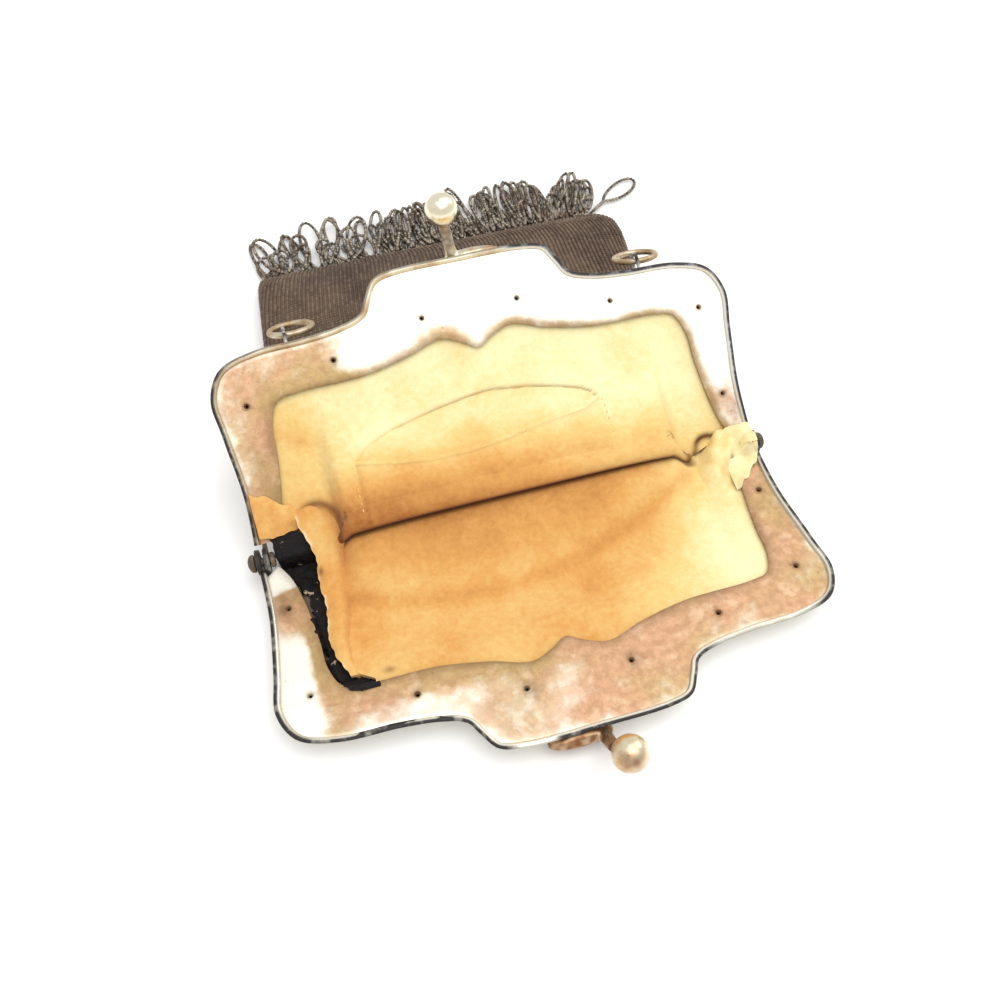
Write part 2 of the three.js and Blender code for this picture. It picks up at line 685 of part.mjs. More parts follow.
purse.add(piece("bag_front", bagFront(), BEAD_KNIT));
purse.add(piece("bag_back", thickSheet(bagBackPanel.points, KNIT), BEAD_KNIT));
purse.add(piece("lining_front", liningFront(), LEATHER));
purse.add(piece("lining_back", thickSheet(liningBackPanel.points, CHAMOIS), LEATHER));
purse.add(piece("lining_pocket", liningPocket(), LEATHER));
purse.add(piece("fringe", fringe(), STEEL_BEADS));

export default purse;
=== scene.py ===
import json
import math

import bmesh
import bpy
import numpy as np
from mathutils import Matrix, Vector, noise
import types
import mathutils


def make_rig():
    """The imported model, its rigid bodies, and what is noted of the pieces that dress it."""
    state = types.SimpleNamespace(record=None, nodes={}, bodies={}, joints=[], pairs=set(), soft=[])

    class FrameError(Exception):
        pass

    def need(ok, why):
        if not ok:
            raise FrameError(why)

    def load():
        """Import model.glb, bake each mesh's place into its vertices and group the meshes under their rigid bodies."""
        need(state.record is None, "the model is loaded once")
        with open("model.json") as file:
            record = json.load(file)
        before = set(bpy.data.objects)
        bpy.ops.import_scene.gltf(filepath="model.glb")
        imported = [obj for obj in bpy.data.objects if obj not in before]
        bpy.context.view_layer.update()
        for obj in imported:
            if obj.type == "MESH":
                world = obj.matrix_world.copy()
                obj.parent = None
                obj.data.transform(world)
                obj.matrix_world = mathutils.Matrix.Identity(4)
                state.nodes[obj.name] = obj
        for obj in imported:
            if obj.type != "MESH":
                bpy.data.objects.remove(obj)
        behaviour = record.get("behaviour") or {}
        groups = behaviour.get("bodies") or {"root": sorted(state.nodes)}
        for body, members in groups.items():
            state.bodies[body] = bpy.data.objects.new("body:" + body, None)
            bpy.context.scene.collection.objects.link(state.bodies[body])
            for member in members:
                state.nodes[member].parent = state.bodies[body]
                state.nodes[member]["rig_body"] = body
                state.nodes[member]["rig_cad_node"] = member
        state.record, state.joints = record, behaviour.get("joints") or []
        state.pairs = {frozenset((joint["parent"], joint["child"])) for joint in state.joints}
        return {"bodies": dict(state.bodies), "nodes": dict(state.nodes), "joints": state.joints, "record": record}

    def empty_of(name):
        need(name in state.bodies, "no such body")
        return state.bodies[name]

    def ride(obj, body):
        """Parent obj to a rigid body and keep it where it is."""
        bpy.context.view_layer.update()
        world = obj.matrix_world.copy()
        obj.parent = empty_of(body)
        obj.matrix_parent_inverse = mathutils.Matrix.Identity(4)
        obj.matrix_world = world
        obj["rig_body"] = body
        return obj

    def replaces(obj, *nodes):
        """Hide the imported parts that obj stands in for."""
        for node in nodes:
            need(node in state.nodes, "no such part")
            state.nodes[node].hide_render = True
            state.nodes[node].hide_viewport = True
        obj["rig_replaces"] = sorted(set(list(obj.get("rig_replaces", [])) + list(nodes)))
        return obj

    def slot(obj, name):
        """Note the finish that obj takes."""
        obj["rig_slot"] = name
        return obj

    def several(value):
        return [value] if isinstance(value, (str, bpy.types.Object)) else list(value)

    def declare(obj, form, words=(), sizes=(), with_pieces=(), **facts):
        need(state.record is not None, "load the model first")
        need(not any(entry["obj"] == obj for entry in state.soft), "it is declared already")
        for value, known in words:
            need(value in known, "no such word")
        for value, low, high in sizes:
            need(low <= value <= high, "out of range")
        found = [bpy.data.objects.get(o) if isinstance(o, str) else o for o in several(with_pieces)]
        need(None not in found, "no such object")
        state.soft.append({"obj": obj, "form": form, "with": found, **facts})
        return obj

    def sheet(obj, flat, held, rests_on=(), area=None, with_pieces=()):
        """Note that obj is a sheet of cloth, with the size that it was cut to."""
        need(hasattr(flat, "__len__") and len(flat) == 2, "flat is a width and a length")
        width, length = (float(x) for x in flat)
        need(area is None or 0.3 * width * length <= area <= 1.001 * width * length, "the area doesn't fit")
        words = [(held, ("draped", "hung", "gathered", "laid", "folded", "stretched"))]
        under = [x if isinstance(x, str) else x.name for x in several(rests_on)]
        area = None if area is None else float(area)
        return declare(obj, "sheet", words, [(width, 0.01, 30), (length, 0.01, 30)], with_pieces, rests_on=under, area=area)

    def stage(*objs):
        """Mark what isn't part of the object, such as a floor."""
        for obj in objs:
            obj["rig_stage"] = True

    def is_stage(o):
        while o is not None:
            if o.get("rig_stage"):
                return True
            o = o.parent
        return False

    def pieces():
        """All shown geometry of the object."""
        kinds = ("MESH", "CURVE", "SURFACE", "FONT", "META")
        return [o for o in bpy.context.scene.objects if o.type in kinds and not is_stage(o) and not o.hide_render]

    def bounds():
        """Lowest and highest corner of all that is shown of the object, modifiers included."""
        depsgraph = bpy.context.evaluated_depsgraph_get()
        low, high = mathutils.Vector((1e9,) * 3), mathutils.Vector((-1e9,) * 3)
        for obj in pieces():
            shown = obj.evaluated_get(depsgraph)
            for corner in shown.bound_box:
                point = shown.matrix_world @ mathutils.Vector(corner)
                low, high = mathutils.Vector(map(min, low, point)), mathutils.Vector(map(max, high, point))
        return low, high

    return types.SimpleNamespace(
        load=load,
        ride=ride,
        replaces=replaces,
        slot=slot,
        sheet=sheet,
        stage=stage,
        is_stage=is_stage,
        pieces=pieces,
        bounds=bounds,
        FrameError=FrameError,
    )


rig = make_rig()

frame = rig.load()
cad_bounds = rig.bounds()

MM = 0.001
SIDES = (-1, 1)
chance = np.random.default_rng(7)

# Frame halves. Their own axes: x across, h up the half from the hinge line, z up from the rim edge
TRAY = 5.2
RISE = math.radians(36.6)
PLATE_START = 3.2
# Lines of the rim and of the window, from the right hinge to the middle: x, h
RIM = [
    (50.0, 0.0), (49.6, 12.0), (50.7, 24.0), (51.3, 31.0), (48.6, 36.2), (42.0, 38.4), (32.0, 38.9),
    (25.6, 39.6), (20.8, 41.2), (19.2, 43.8), (17.0, 47.0), (12.5, 48.1), (0.0, 48.3),
]
WINDOW = [
    (47.0, 0.6), (44.8, 4.2), (43.2, 10.0), (41.9, 19.0), (41.5, 24.5), (39.6, 28.5), (36.0, 29.3),
    (23.0, 29.7), (14.0, 31.4), (7.0, 33.4), (3.0, 32.0), (0.0, 30.4),
]
# Rows of both tables that face each other across the plate, and the steps from the row before
FACING = [(0, 0, 0), (2, 4, 30), (5, 6, 24), (8, 7, 24), (10, 8, 16), (12, 11, 26)]
# Section of the domed wall: inward from the rim line, further towards the window, z, grime; the grime on the bead's
# outer side and in the groove by the plate is partly painted shade
WALL = [
    (0.0, 4.5, -5.2, 0.1), (0.0, 3.8, -5.08, 0.12), (0.0, 2.9, -4.6, 0.15), (0.0, 2.2, -3.6, 0.15),
    (0.0, 1.4, -2.4, 0.3), (0.0, 0.9, -1.7, 0.55), (0.0, 0.22, -1.25, 1.0), (-0.1, 0.0, -1.02, 1.0),
    (-0.17, 0.0, -0.7, 1.0), (-0.14, 0.0, -0.35, 1.0), (0.0, 0.0, -0.08, 1.0), (0.24, 0.0, 0.03, 1.0),
    (0.46, 0.0, 0.02, 0.35), (0.64, 0.0, -0.02, 0.0), (0.8, 0.0, -0.14, 0.0), (0.9, 0.0, -0.45, 0.4),
    (0.9, 0.9, -2.2, 1.0), (0.9, 2.0, -3.7, 1.0), (0.9, 3.2, -4.4, 1.0), (0.9, 3.8, -4.5, 1.0),
]
# Share of the full dome for each millimetre of the plate's width, up to all of it
DOME_PER_MM = 0.135
# z where the bead, its dark and its chips end on the wall
BEAD_FOOT, DARK_FOOT, CHIP_FOOT = -1.3, -1.9, -2
# Outer plate, above and below: share of the way from the wall's foot to the window, z, grime; in the hollow under the
# inner plate that grime is partly painted shade
PLATE_ABOVE = [
    (0.3, -4.5, 1.0), (0.7, -4.5, 0.9), (0.97, -4.5, 0.8), (1.0, -4.62, 0.6), (1.0, -5.08, 0.5),
]
PLATE_BELOW = [(0.97, -5.2, 0.35), (0.6, -5.2, 0.15), (0.2, -5.2, 0.15)]
# Inner plate, from the rim to the window and back below: share of the way, z
INNER_PLATE = [
    (0, -0.68), (0.03, -0.6), (0.1, -0.6), (0.2, -0.6), (0.3, -0.6), (0.4, -0.6), (0.5, -0.6),
    (0.6, -0.6), (0.7, -0.6), (0.8, -0.6), (0.88, -0.6), (0.94, -0.6), (0.98, -0.63), (1.0, -0.7),
    (1.0, -1.12), (0.9, -1.2), (0.5, -1.2), (0.1, -1.2), (0.0, -1.12),
]
# Places along the front rim where the plating has chipped: x, h, size
CHIPS = [(36.8, 38.2, 1.6), (34.0, 38.5, 2.2), (31.0, 38.8, 1.9), (24.6, 40.2, 1.7), (22.6, 41.0, 1.4)]
# Spots of stain on the inner plates: x, h, size, depth
FRONT_SPOTS = [
    (-46.8, 11.1, 1.6, 0.8), (-8.5, 38.6, 1.5, 0.5), (10.5, 38.2, 1.3, 0.4), (-46.4, 8.8, 2.0, 0.42),
]
BACK_SPOTS = [
    (-46.2, 10.9, 1.2, 0.3), (48.6, 7.0, 2.0, 0.35), (-43.6, 12.0, 3.4, 0.3), (-44.6, 6.0, 3.0, 0.3),
    (-45.3, 16.7, 3.2, 0.2),
]
# Sewing holes of the right side, and of both: x, h
RIGHT_HOLES = [(46.2, 10.9), (45.3, 28.8), (27.7, 33.8), (9.5, 38.1)]
HOLES = [(side * x, h) for x, h in RIGHT_HOLES for side in SIDES]
HOLE_RADIUS = 0.24
HOLE_MOUTH = 0.62
HOLE_LEVEL = -0.64
HOLE_SOIL = 0.75
BURR_RADIUS = 0.74
BURR_WIRE = 0.1

# Hinges, clasp and rings
EAR_RADIUS = 2.4
EAR_HALF = 0.45
FRONT_EAR_X = 49.85
BACK_EAR_X = 48.35
# Bars that join the back ears to the wall: x from, x to, h from; and their end and levels
LUGS = [(47.9, 48.8, 0.5), (48.6, 49.7, PLATE_START)]
LUG_END, LUG_LOW, LUG_HIGH = 7.0, -2.9, -1.3
PIN_RADIUS = 0.8
PIN_HOLE = 1.1
PIN_HEAD = 1.7
BALL = (-1.95, 56.0, 5.5)
BALL_RADIUS = 3.1
LEAF_START, LEAF_MIDDLE, LEAF_END, LEAF_HALF = -2.6, 3.2, 9.0, 5.8
LEAF_BACK, LEAF_FRONT, LEAF_LEVEL = 46.7, 48.4, -2.5
SOLDER_VOXEL = 0.22
EYE_X, EYE_H, EYE_Z = 35.5, 40.8, -3.4
EYE_RADIUS = 1.45
EYE_WIRE = 0.34
EYE_LOWER_END, EYE_UPPER_END = 35.2, 37.4
RING_RADIUS = 4.2
RING_WIRE = 0.6
RING_LEAN = math.radians(60)
RING_SLIP = math.radians(20)

# Cloth
LINING_THICK = 0.9
POCKET_THICK = 0.5
GUSSET_THICK = 0.6
WRAP_THICK = 0.5
BACKING_THICK = 0.3
KNIT_BACK_THICK = 0.9
KNIT_FRONT_THICK = 0.8
KNIT_FLOOR = 0.75
# Least width or length that a flat cut is stated with
LEAST_CUT = 10.2
# How far the knit and the lining lie below a half's rim edge where they go under its plate
KNIT_TUCK = 3.5
LINING_TUCK = 2.0
TUCK_HALF = 43.5
TUCK_HEIGHT = 31.8
SLOPE_ANGLE = math.radians(22)
# Bag on the table: y, left, right
BAG_SIDES = [
    (2, -41.0, 41.5), (20, -41.0, 42.5), (40, -40.7, 44.0), (57, -40.3, 45.4), (70, -39.5, 47.3),
    (74, -39.2, 47.4), (76.5, -39.0, 46.6), (78.4, -38.7, 45.0), (79.5, -38.4, 42.6),
]
# Top of the bag along its middle: y, z
BAG_TOP = [
    (8, 10.3), (20, 10.2), (40, 9.7), (57, 8.6), (68, 7.2), (75, 5.6), (78, 4.0), (79.3, 2.6),
]
HEM = 79.5
SEAM_SLACK = 0.7
LAYER = 1.55
LINING_HEM = 73.5
LINING_FLOOR = 2.25
LINING_INSET = 3.8
POCKET_LEFT, POCKET_RIGHT = -28.5, 20.3
# Torn edge of the front lining: y, x
TEAR = [
    (-40, -33.0), (-28.4, -34.0), (-26.6, -36.6), (-25.2, -38.2), (-21.0, -39.8), (-17.0, -40.2),
    (-12.4, -39.3), (-6.0, -39.8), (2.0, -39.2),
]
# Lower and upper edge of the pocket's mouth: x, y
POCKET_LOWER = [
    (-28.5, 9.8), (-22.0, 8.3), (-14.7, 7.1), (-7.0, 6.9), (0.0, 7.6), (7.5, 9.0), (13.0, 9.6),
    (17.0, 10.2), (20.3, 11.8),
]
POCKET_UPPER = [
    (-28.5, 10.2), (-25.7, 12.8), (-20.3, 15.0), (-12.1, 16.5), (-3.9, 17.6), (0.2, 17.9),
    (8.0, 16.9), (13.7, 15.8), (17.5, 14.7), (19.5, 13.5), (20.3, 12.1),
]
# Chamois that stands up at the ends of the mouth: y, left, right, height of its middle
LEFT_TONGUE = [
    (-27.0, -37.8, -36.4, 3.3), (-20.5, -40.0, -36.4, 3.7), (-12.5, -39.5, -34.6, 4.0),
    (-7.0, -39.7, -33.8, 4.5), (-2.0, -39.6, -33.0, 5.6), (1.0, -40.2, -32.6, 6.9),
    (3.5, -41.3, -33.3, 7.8), (5.4, -41.6, -34.5, 8.2), (6.6, -41.0, -35.8, 8.3),
    (7.2, -39.8, -37.2, 8.2),
]
RIGHT_TONGUE = [
    (-9.5, 36.0, 43.0, 3.2), (-7.0, 35.6, 44.0, 3.7), (-5.0, 35.4, 44.6, 4.3), (-3.0, 35.4, 45.2, 4.9),
    (-1.0, 35.8, 45.8, 5.4), (0.6, 37.0, 46.2, 5.8), (1.8, 38.4, 46.2, 6.1), (2.8, 39.8, 45.8, 6.3),
    (3.5, 41.4, 44.8, 6.3),
]
# Line of painted shade along the curl where the back lining meets the right gusset: x, y
CURL = [(35.9, 0.0), (37.4, 1.0), (38.2, 1.8), (38.6, 2.8), (39.4, 3.6), (40.9, 3.9), (42.6, 3.6)]
# Edges of the black backing that the tear lays bare: y, left, right
BACKING = [
    (-30.5, -36.5, -32.0), (-29.6, -38.6, -32.6), (-27.6, -39.8, -33.6), (-25.0, -41.2, -36.4),
    (-20.0, -41.8, -37.6), (-14.5, -42.2, -37.6), (-10.0, -42.4, -37.8), (-7.7, -43.0, -38.2),
    (-4.0, -44.4, -38.4), (-1.0, -46.2, -38.6), (1.7, -47.3, -39.8), (3.3, -46.8, -41.4),
    (4.0, -45.6, -43.6),
]
# Its level on the plate, and past the hinge line its least level and slope
BACKING_LEVEL, BACKING_FOOT, BACKING_SLOPE = 4.78, 4.6, 0.742
# Chamois over the arms, each with its lower and its upper edge: x, h
LEFT_WRAP = (
    [(-48.7, 4.6), (-46.6, 3.6), (-43.8, 4.2), (-41.0, 4.6)],
    [(-48.8, 12.3), (-46.0, 11.8), (-42.9, 9.4), (-40.8, 7.9)],
)
RIGHT_WRAP = (
    [(-49.3, -4.0), (-47.0, -4.2), (-44.8, -4.0), (-42.6, -3.0)],
    [(-49.3, 3.2), (-47.8, 5.4), (-45.0, 7.6), (-42.4, 9.5)],
)
# Knit: rows of the back panel over the bag and in its fold, row from which the mouth's beads run, half
# width that is beaded also in the fold, and tint of the ground
BAG_ROWS, FOLD_ROWS = 90, 12
MOUTH_ROW = BAG_ROWS + 5
BEADED_HALF = 23
KNIT_TINT = 0.3
# Fringe: y of the hem where loops start, y from which they are measured, and the furthest y
LOOP_ROOT, LOOP_BASE, LOOP_END = 80.3, 80.4, 101.6
# Loops lie looser left of this x; and tips of the loops: x, y
LOOSE_UP_TO = -9
FRINGE_TIPS = [
    (-39.8, 97.0), (-30.0, 98.5), (-17.0, 99.5), (-8.0, 97.0), (10.0, 100.5), (28.0, 101.5),
    (38.0, 98.0), (51.0, 95.0),
]

# Camera, placed as the photo was taken
CAMERA_AT = (-31.82, -106.10, 159.49)
CAMERA_VIEW = (0.15193, 0.56307, -0.81232)
CAMERA_UP = (0.23464, 0.77782, 0.58304)
LENS = 35.31
SENSOR = 36.0
NEAREST = 0.01

# Table and light. Lights are in metres and watts: place, width and length, power
TABLE_HALF, TABLE_LEVEL = 2000, -0.1
ROOM_LIGHT = 0.85
LIGHTS = {
    "overhead_box": ((0.05, -0.1, 0.6), (0.6, 0.6), 2.2),
    "side_box": ((0.5, 0.2, 0.45), (0.35, 0.5), 0.9),
}
LIT_PLACE = (0, 0.02, 0)


# Curves and fields

def smooth(value, start, end):
    t = np.clip((np.asarray(value, float) - start) / (end - start), 0, 1)
    return t * t * (3 - 2 * t)


def lerp(a, b, t):
    return a + (b - a) * t


def bell(value, width):
    return np.exp(-(value / width) ** 2)


def column(table, at, k=1):
    rows = np.asarray(table, float)
    return np.interp(at, rows[:, 0], rows[:, k])


def flat_at(x, y):
    return np.stack([x, y, 0 * x], -1)


def at_level(line, level):
    """Points of a line with one more measure, the same for all."""
    return np.column_stack([line, np.full(len(line), level)])


def wander(points, size, seed=0):
    """Soft noise from -1 to 1 at places in millimetres, with bumps of about that size."""
    flat = np.asarray(points, float).reshape(-1, 3) / size
    shift = Vector((seed * 17.3, seed * 5.1, seed * 9.7))
    values = [noise.noise(Vector(p) + shift) for p in flat]
    return np.array(values).reshape(np.shape(points)[:-1])


def curve_through(points, samples=24):
    """Centripetal curve through points: one array of samples for each stretch."""
    pts = [np.array(p, float) for p in points]
    pts = [2 * pts[0] - pts[1], *pts, 2 * pts[-1] - pts[-2]]
    stretches = []
    for p0, p1, p2, p3 in zip(pts, pts[1:], pts[2:], pts[3:]):
        spans = [math.sqrt(np.linalg.norm(b - a)) for a, b in ((p0, p1), (p1, p2), (p2, p3))]
        k = np.cumsum([0, *spans])
        t = np.linspace(k[1], k[2], samples)[:, None]

        def between(a, b, i, j):
            return (a * (k[j] - t) + b * (t - k[i])) / (k[j] - k[i])

        a1, a2, a3 = between(p0, p1, 0, 1), between(p1, p2, 1, 2), between(p2, p3, 2, 3)
        b1, b2 = between(a1, a2, 0, 2), between(a2, a3, 1, 3)
        stretches.append(between(b1, b2, 1, 2))
    return stretches


def resample(points, steps):
    points = np.asarray(points, float)
    run = np.r_[0, np.cumsum(np.linalg.norm(np.diff(points, axis=0), axis=1))]
    at = np.linspace(0, run[-1], steps + 1)
    return np.column_stack([np.interp(at, run, points[:, k]) for k in range(points.shape[1])])


def smooth_table(table, steps):
    """Rows of a table drawn as one smooth curve of that many steps."""
    return resample(np.vstack(curve_through(table)), steps)


def half_edge(rows, key):
    """Rim or window line from the right hinge round to the left one, in steps that face each other."""
    whole = curve_through(rows + [(-x, h) for x, h in rows[-2::-1]])
    runs = [resample(np.vstack(whole[a[key]:b[key]]), b[2])[:-1] for a, b in zip(FACING, FACING[1:])]
    half = np.vstack([*runs, [rows[-1]]])
    return np.vstack([half, (half * (-1, 1))[-2::-1]])


RIM_LINE = half_edge(RIM, 0)
WINDOW_LINE = half_edge(WINDOW, 1)
ALONG = np.gradient(RIM_LINE, axis=0)
ALONG /= np.linalg.norm(ALONG, axis=1)[:, None]
INWARD = np.column_stack([-ALONG[:, 1], ALONG[:, 0]])


def line_reach(x, y, line):
    """How far each place is from a drawn line."""
    best = np.full(np.shape(x), 1e9)
    for (ax, ay), (bx, by) in zip(line, line[1:]):
        dx, dy = bx - ax, by - ay
        t = np.clip(((x - ax) * dx + (y - ay) * dy) / (dx * dx + dy * dy), 0, 1)
        best = np.minimum(best, np.hypot(x - ax - t * dx, y - ay - t * dy))
    return best


def on_front(points):
    p = np.asarray(points, float)
    return np.stack([-p[..., 0], -p[..., 1], TRAY + p[..., 2]], -1)


def on_back(points):
    p = np.asarray(points, float)
    c, s = math.cos(RISE), math.sin(RISE)
    y, z = p[..., 1] * c - p[..., 2] * s, TRAY + p[..., 1] * s + p[..., 2] * c
    return np.stack([p[..., 0], y, z], -1)


# Meshes

def new_object(name, mesh, material=None):
    if material:
        mesh.materials.clear()
        mesh.materials.append(material)
    piece = bpy.data.objects.new(name, mesh)
    bpy.context.scene.collection.objects.link(piece)
    return piece


def finish_mesh(mesh, crease=40):
    """Faces out, smooth shading, and hard edges where two faces meet at more than the crease."""
    edit = bmesh.new()
    edit.from_mesh(mesh)
    bmesh.ops.recalc_face_normals(edit, faces=edit.faces)
    limit = math.radians(crease)
    for face in edit.faces:
        face.smooth = True
    for edge in edit.edges:
        if len(edge.link_faces) == 2:
            edge.smooth = edge.calc_face_angle(0) < limit
    edit.to_mesh(mesh)
    edit.free()
    mesh.update()


def add_marks(mesh, marks):
    for label, values in (marks or {}).items():
        values = np.asarray(values, np.float32)
        if values.ndim == 2 and values.shape[1] == 3:
            layer = mesh.attributes.new(label, "FLOAT_VECTOR", "POINT")
            layer.data.foreach_set("vector", values.ravel())
        else:
            layer = mesh.attributes.new(label, "FLOAT", "POINT")
            layer.data.foreach_set("value", values.ravel())


def build(name, points, faces, material, marks=None, crease=40):
    mesh = bpy.data.meshes.new(name)
    mesh.from_pydata((np.asarray(points, float).reshape(-1, 3) * MM).tolist(), [], faces)
    add_marks(mesh, marks)
    finish_mesh(mesh, crease)
    return new_object(name, mesh, material)


def loft(name, rings, material, marks=None, crease=40, closed=False):
    """Body through rings of points; its ends are capped unless it closes on itself."""
    rings = np.asarray(rings, float)
    count, around = rings.shape[:2]
    faces = []
    for i in range(count if closed else count - 1):
        a, b = i * around, ((i + 1) % count) * around
        for j in range(around):
            k = (j + 1) % around
            faces.append((a + j, a + k, b + k, b + j))
    if not closed:
        faces.append(tuple(range(around))[::-1])
        faces.append(tuple((count - 1) * around + j for j in range(around)))
    return build(name, rings, faces, material, marks, crease)


def turned(name, profile, centre, axis, material, sides=32, crease=35, ring=False):
    """Lathe body: profile of (radius, distance along the axis). A ring's profile closes on itself."""
    axis = np.asarray(axis, float) / np.linalg.norm(axis)
    side = np.cross(axis, (0, 0, 1) if abs(axis[2]) < 0.9 else (1, 0, 0))
    side /= np.linalg.norm(side)
    other = np.cross(axis, side)
    a = np.linspace(0, 2 * math.pi, sides, endpoint=False)[:, None]
    spokes = np.cos(a) * side + np.sin(a) * other
    rings = [np.asarray(centre, float) + axis * along + spokes * radius for radius, along in profile]
    return loft(name, rings, material, crease=crease, closed=ring)


def tube(name, path, radius, material, sides=12, closed=False):
    """Wire along a path; its radius may change along it."""
    path = np.asarray(path, float)
    along = np.gradient(path, axis=0)
    if closed:
        along = np.roll(path, -1, 0) - np.roll(path, 1, 0)
    along /= np.linalg.norm(along, axis=1)[:, None]
    a = np.linspace(0, 2 * math.pi, sides, endpoint=False)[:, None]
    side = np.cross(along[0], (0.3, 0.2, 0.9))
    rings = []
    for p, t, r in zip(path, along, np.broadcast_to(radius, len(path))):
        side = side - t * np.dot(side, t)
        side /= np.linalg.norm(side)
        rings.append(p + r * (np.cos(a) * side + np.sin(a) * np.cross(t, side)))
    return loft(name, rings, material, closed=closed, crease=60)


def applied(piece):
    """Turns the piece's modifiers into a plain mesh."""
    bpy.context.view_layer.update()
    graph = bpy.context.evaluated_depsgraph_get()
    mesh = bpy.data.meshes.new_from_object(piece.evaluated_get(graph))
    piece.modifiers.clear()
    old = piece.data
    piece.data = mesh
    bpy.data.meshes.remove(old)
    mesh.name = piece.name
    return piece


def fuse(piece, others, operation="UNION", crease=35):
    """Joins others to the piece as one closed body, or cuts them out of it."""
    for other in others:
        cut = piece.modifiers.new("fuse", "BOOLEAN")
        cut.operation = operation
        cut.solver = "EXACT"
        cut.object = other
        applied(piece)
        mesh = other.data
        bpy.data.objects.remove(other)
        bpy.data.meshes.remove(mesh)
    finish_mesh(piece.data, crease)
    return piece


def normals_of(grid):
    normal = np.cross(np.gradient(grid, axis=1), np.gradient(grid, axis=0))
    return normal / np.maximum(np.linalg.norm(normal, axis=2), 1e-9)[..., None]


def cloth(name, grid, thickness, material, marks=None, crease=60):
    """Sheet with its true thickness round a grid of middle points, its edges closed."""
    grid = np.asarray(grid, float)
    rows, columns = grid.shape[:2]
    step = normals_of(grid) * thickness / 2
    points = np.concatenate([(grid + step).reshape(-1, 3), (grid - step).reshape(-1, 3)])
    under = rows * columns
    faces = []
    for i in range(rows - 1):
        for j in range(columns - 1):
            a = i * columns + j
            faces.append((a, a + 1, a + columns + 1, a + columns))
            faces.append((under + a, under + a + columns, under + a + columns + 1, under + a + 1))
    border = list(range(columns))
    border += [i * columns + columns - 1 for i in range(1, rows)]
    border += [(rows - 1) * columns + j for j in range(columns - 2, -1, -1)]
    border += [i * columns for i in range(rows - 2, 0, -1)]
    for a, b in zip(border, border[1:] + border[:1]):
        faces.append((b, a, under + a, under + b))
    doubled = {label: np.tile(np.asarray(v, float).ravel(), 2) for label, v in (marks or {}).items()}
    return build(name, points, faces, material, doubled, crease)


# Node trees

class Nodes:
    """A node tree under construction. Inputs are given by name or place, as values or sockets."""

    def __init__(self, tree):
        self.tree = tree

    def add(self, kind, inputs=None, **settings):
        node = self.tree.nodes.new(kind)
        for key, value in settings.items():
            setattr(node, key, value)
        for key, value in (inputs or {}).items():
            if isinstance(value, bpy.types.NodeSocket):
                self.tree.links.new(value, node.inputs[key])
            else:
                node.inputs[key].default_value = value
        return node

    def link(self, source, target):
        self.tree.links.new(source, target)

    def math(self, operation, a, b=0.0, c=0.0, clamp=False):
        inputs = {0: a, 1: b, 2: c}
        return self.add("ShaderNodeMath", inputs, operation=operation, use_clamp=clamp).outputs[0]

    def ramp(self, value, low, high, to_low=0.0, to_high=1.0):
        inputs = {0: value, 1: low, 2: high, 3: to_low, 4: to_high}
        return self.add("ShaderNodeMapRange", inputs, interpolation_type="SMOOTHSTEP").outputs[0]

    def mix(self, factor, a, b, blend="MIX"):
        inputs = {0: factor, 6: a, 7: b}
        return self.add("ShaderNodeMix", inputs, data_type="RGBA", blend_type=blend).outputs[2]

    def tones(self, value, stops):
        node = self.add("ShaderNodeValToRGB", {0: value})
        ramp = node.color_ramp
        while len(ramp.elements) < len(stops):
            ramp.elements.new(0.5)
        for element, (place, tone) in zip(ramp.elements, stops):
            element.position = place
            element.color = tone
        return node.outputs[0]

    def noise(self, vector, scale, detail=3.0, rough=0.55):
        inputs = {"Vector": vector, "Scale": scale, "Detail": detail, "Roughness": rough}
        return self.add("ShaderNodeTexNoise", inputs).outputs["Fac"]

    def place(self):
        return self.add("ShaderNodeTexCoord").outputs["Object"]

    def mark(self, label):
        return self.add("ShaderNodeAttribute", attribute_name=label).outputs["Fac"]

    def bump(self, height, strength, distance):
        inputs = {"Height": height, "Strength": strength, "Distance": distance}
        return self.add("ShaderNodeBump", inputs).outputs[0]


FLOAT, VECTOR, WHOLE = "NodeSocketFloat", "NodeSocketVector", "NodeSocketInt"
MATERIAL, GEOMETRY = "NodeSocketMaterial", "NodeSocketGeometry"


def new_group(name, kind, inputs, outputs):
    tree = bpy.data.node_groups.new(name, kind)
    for label, socket_kind, value in inputs:
        socket = tree.interface.new_socket(label, in_out="INPUT", socket_type=socket_kind)
        if value is not None:
            socket.default_value = value
    for label, socket_kind in outputs:
        tree.interface.new_socket(label, in_out="OUTPUT", socket_type=socket_kind)
    n = Nodes(tree)
    return n, n.add("NodeGroupInput").outputs, n.add("NodeGroupOutput").inputs


def paint(red, green, blue):
    """Linear colour of a paint-card tone given from 0 to 255."""
    def linear(v):
        v /= 255
        return v / 12.92 if v <= 0.04045 else ((v + 0.055) / 1.055) ** 2.4
    return (linear(red), linear(green), linear(blue), 1.0)


def tarnish_group():
    """Tarnish that gathers in patches, small dark specks, and fine rubbed lines on old white metal."""
    inputs = [("Cover", FLOAT, 0.5), ("Patch Scale", FLOAT, 110.0)]
    outputs = [("Tarnish", FLOAT), ("Specks", FLOAT), ("Rubbing", FLOAT)]
    n, given, out = new_group("tarnish", "ShaderNodeTree", inputs, outputs)
    at = n.place()
    cloud = n.noise(at, given["Patch Scale"], 6.0, 0.62)
    reach = n.math("MULTIPLY_ADD", n.math("SUBTRACT", cloud, 0.5), 1.7, given["Cover"])
    n.link(n.ramp(reach, 0.12, 0.92), out["Tarnish"])
    n.link(n.ramp(n.noise(at, 1100.0, 2.0, 0.7), 0.66, 0.73), out["Specks"])
    lines = n.add("ShaderNodeMapping", {"Vector": at, "Scale": (500.0, 3500.0, 1500.0)}).outputs[0]
    n.link(n.noise(lines, 1.0, 4.0, 0.6), out["Rubbing"])
    return n.tree


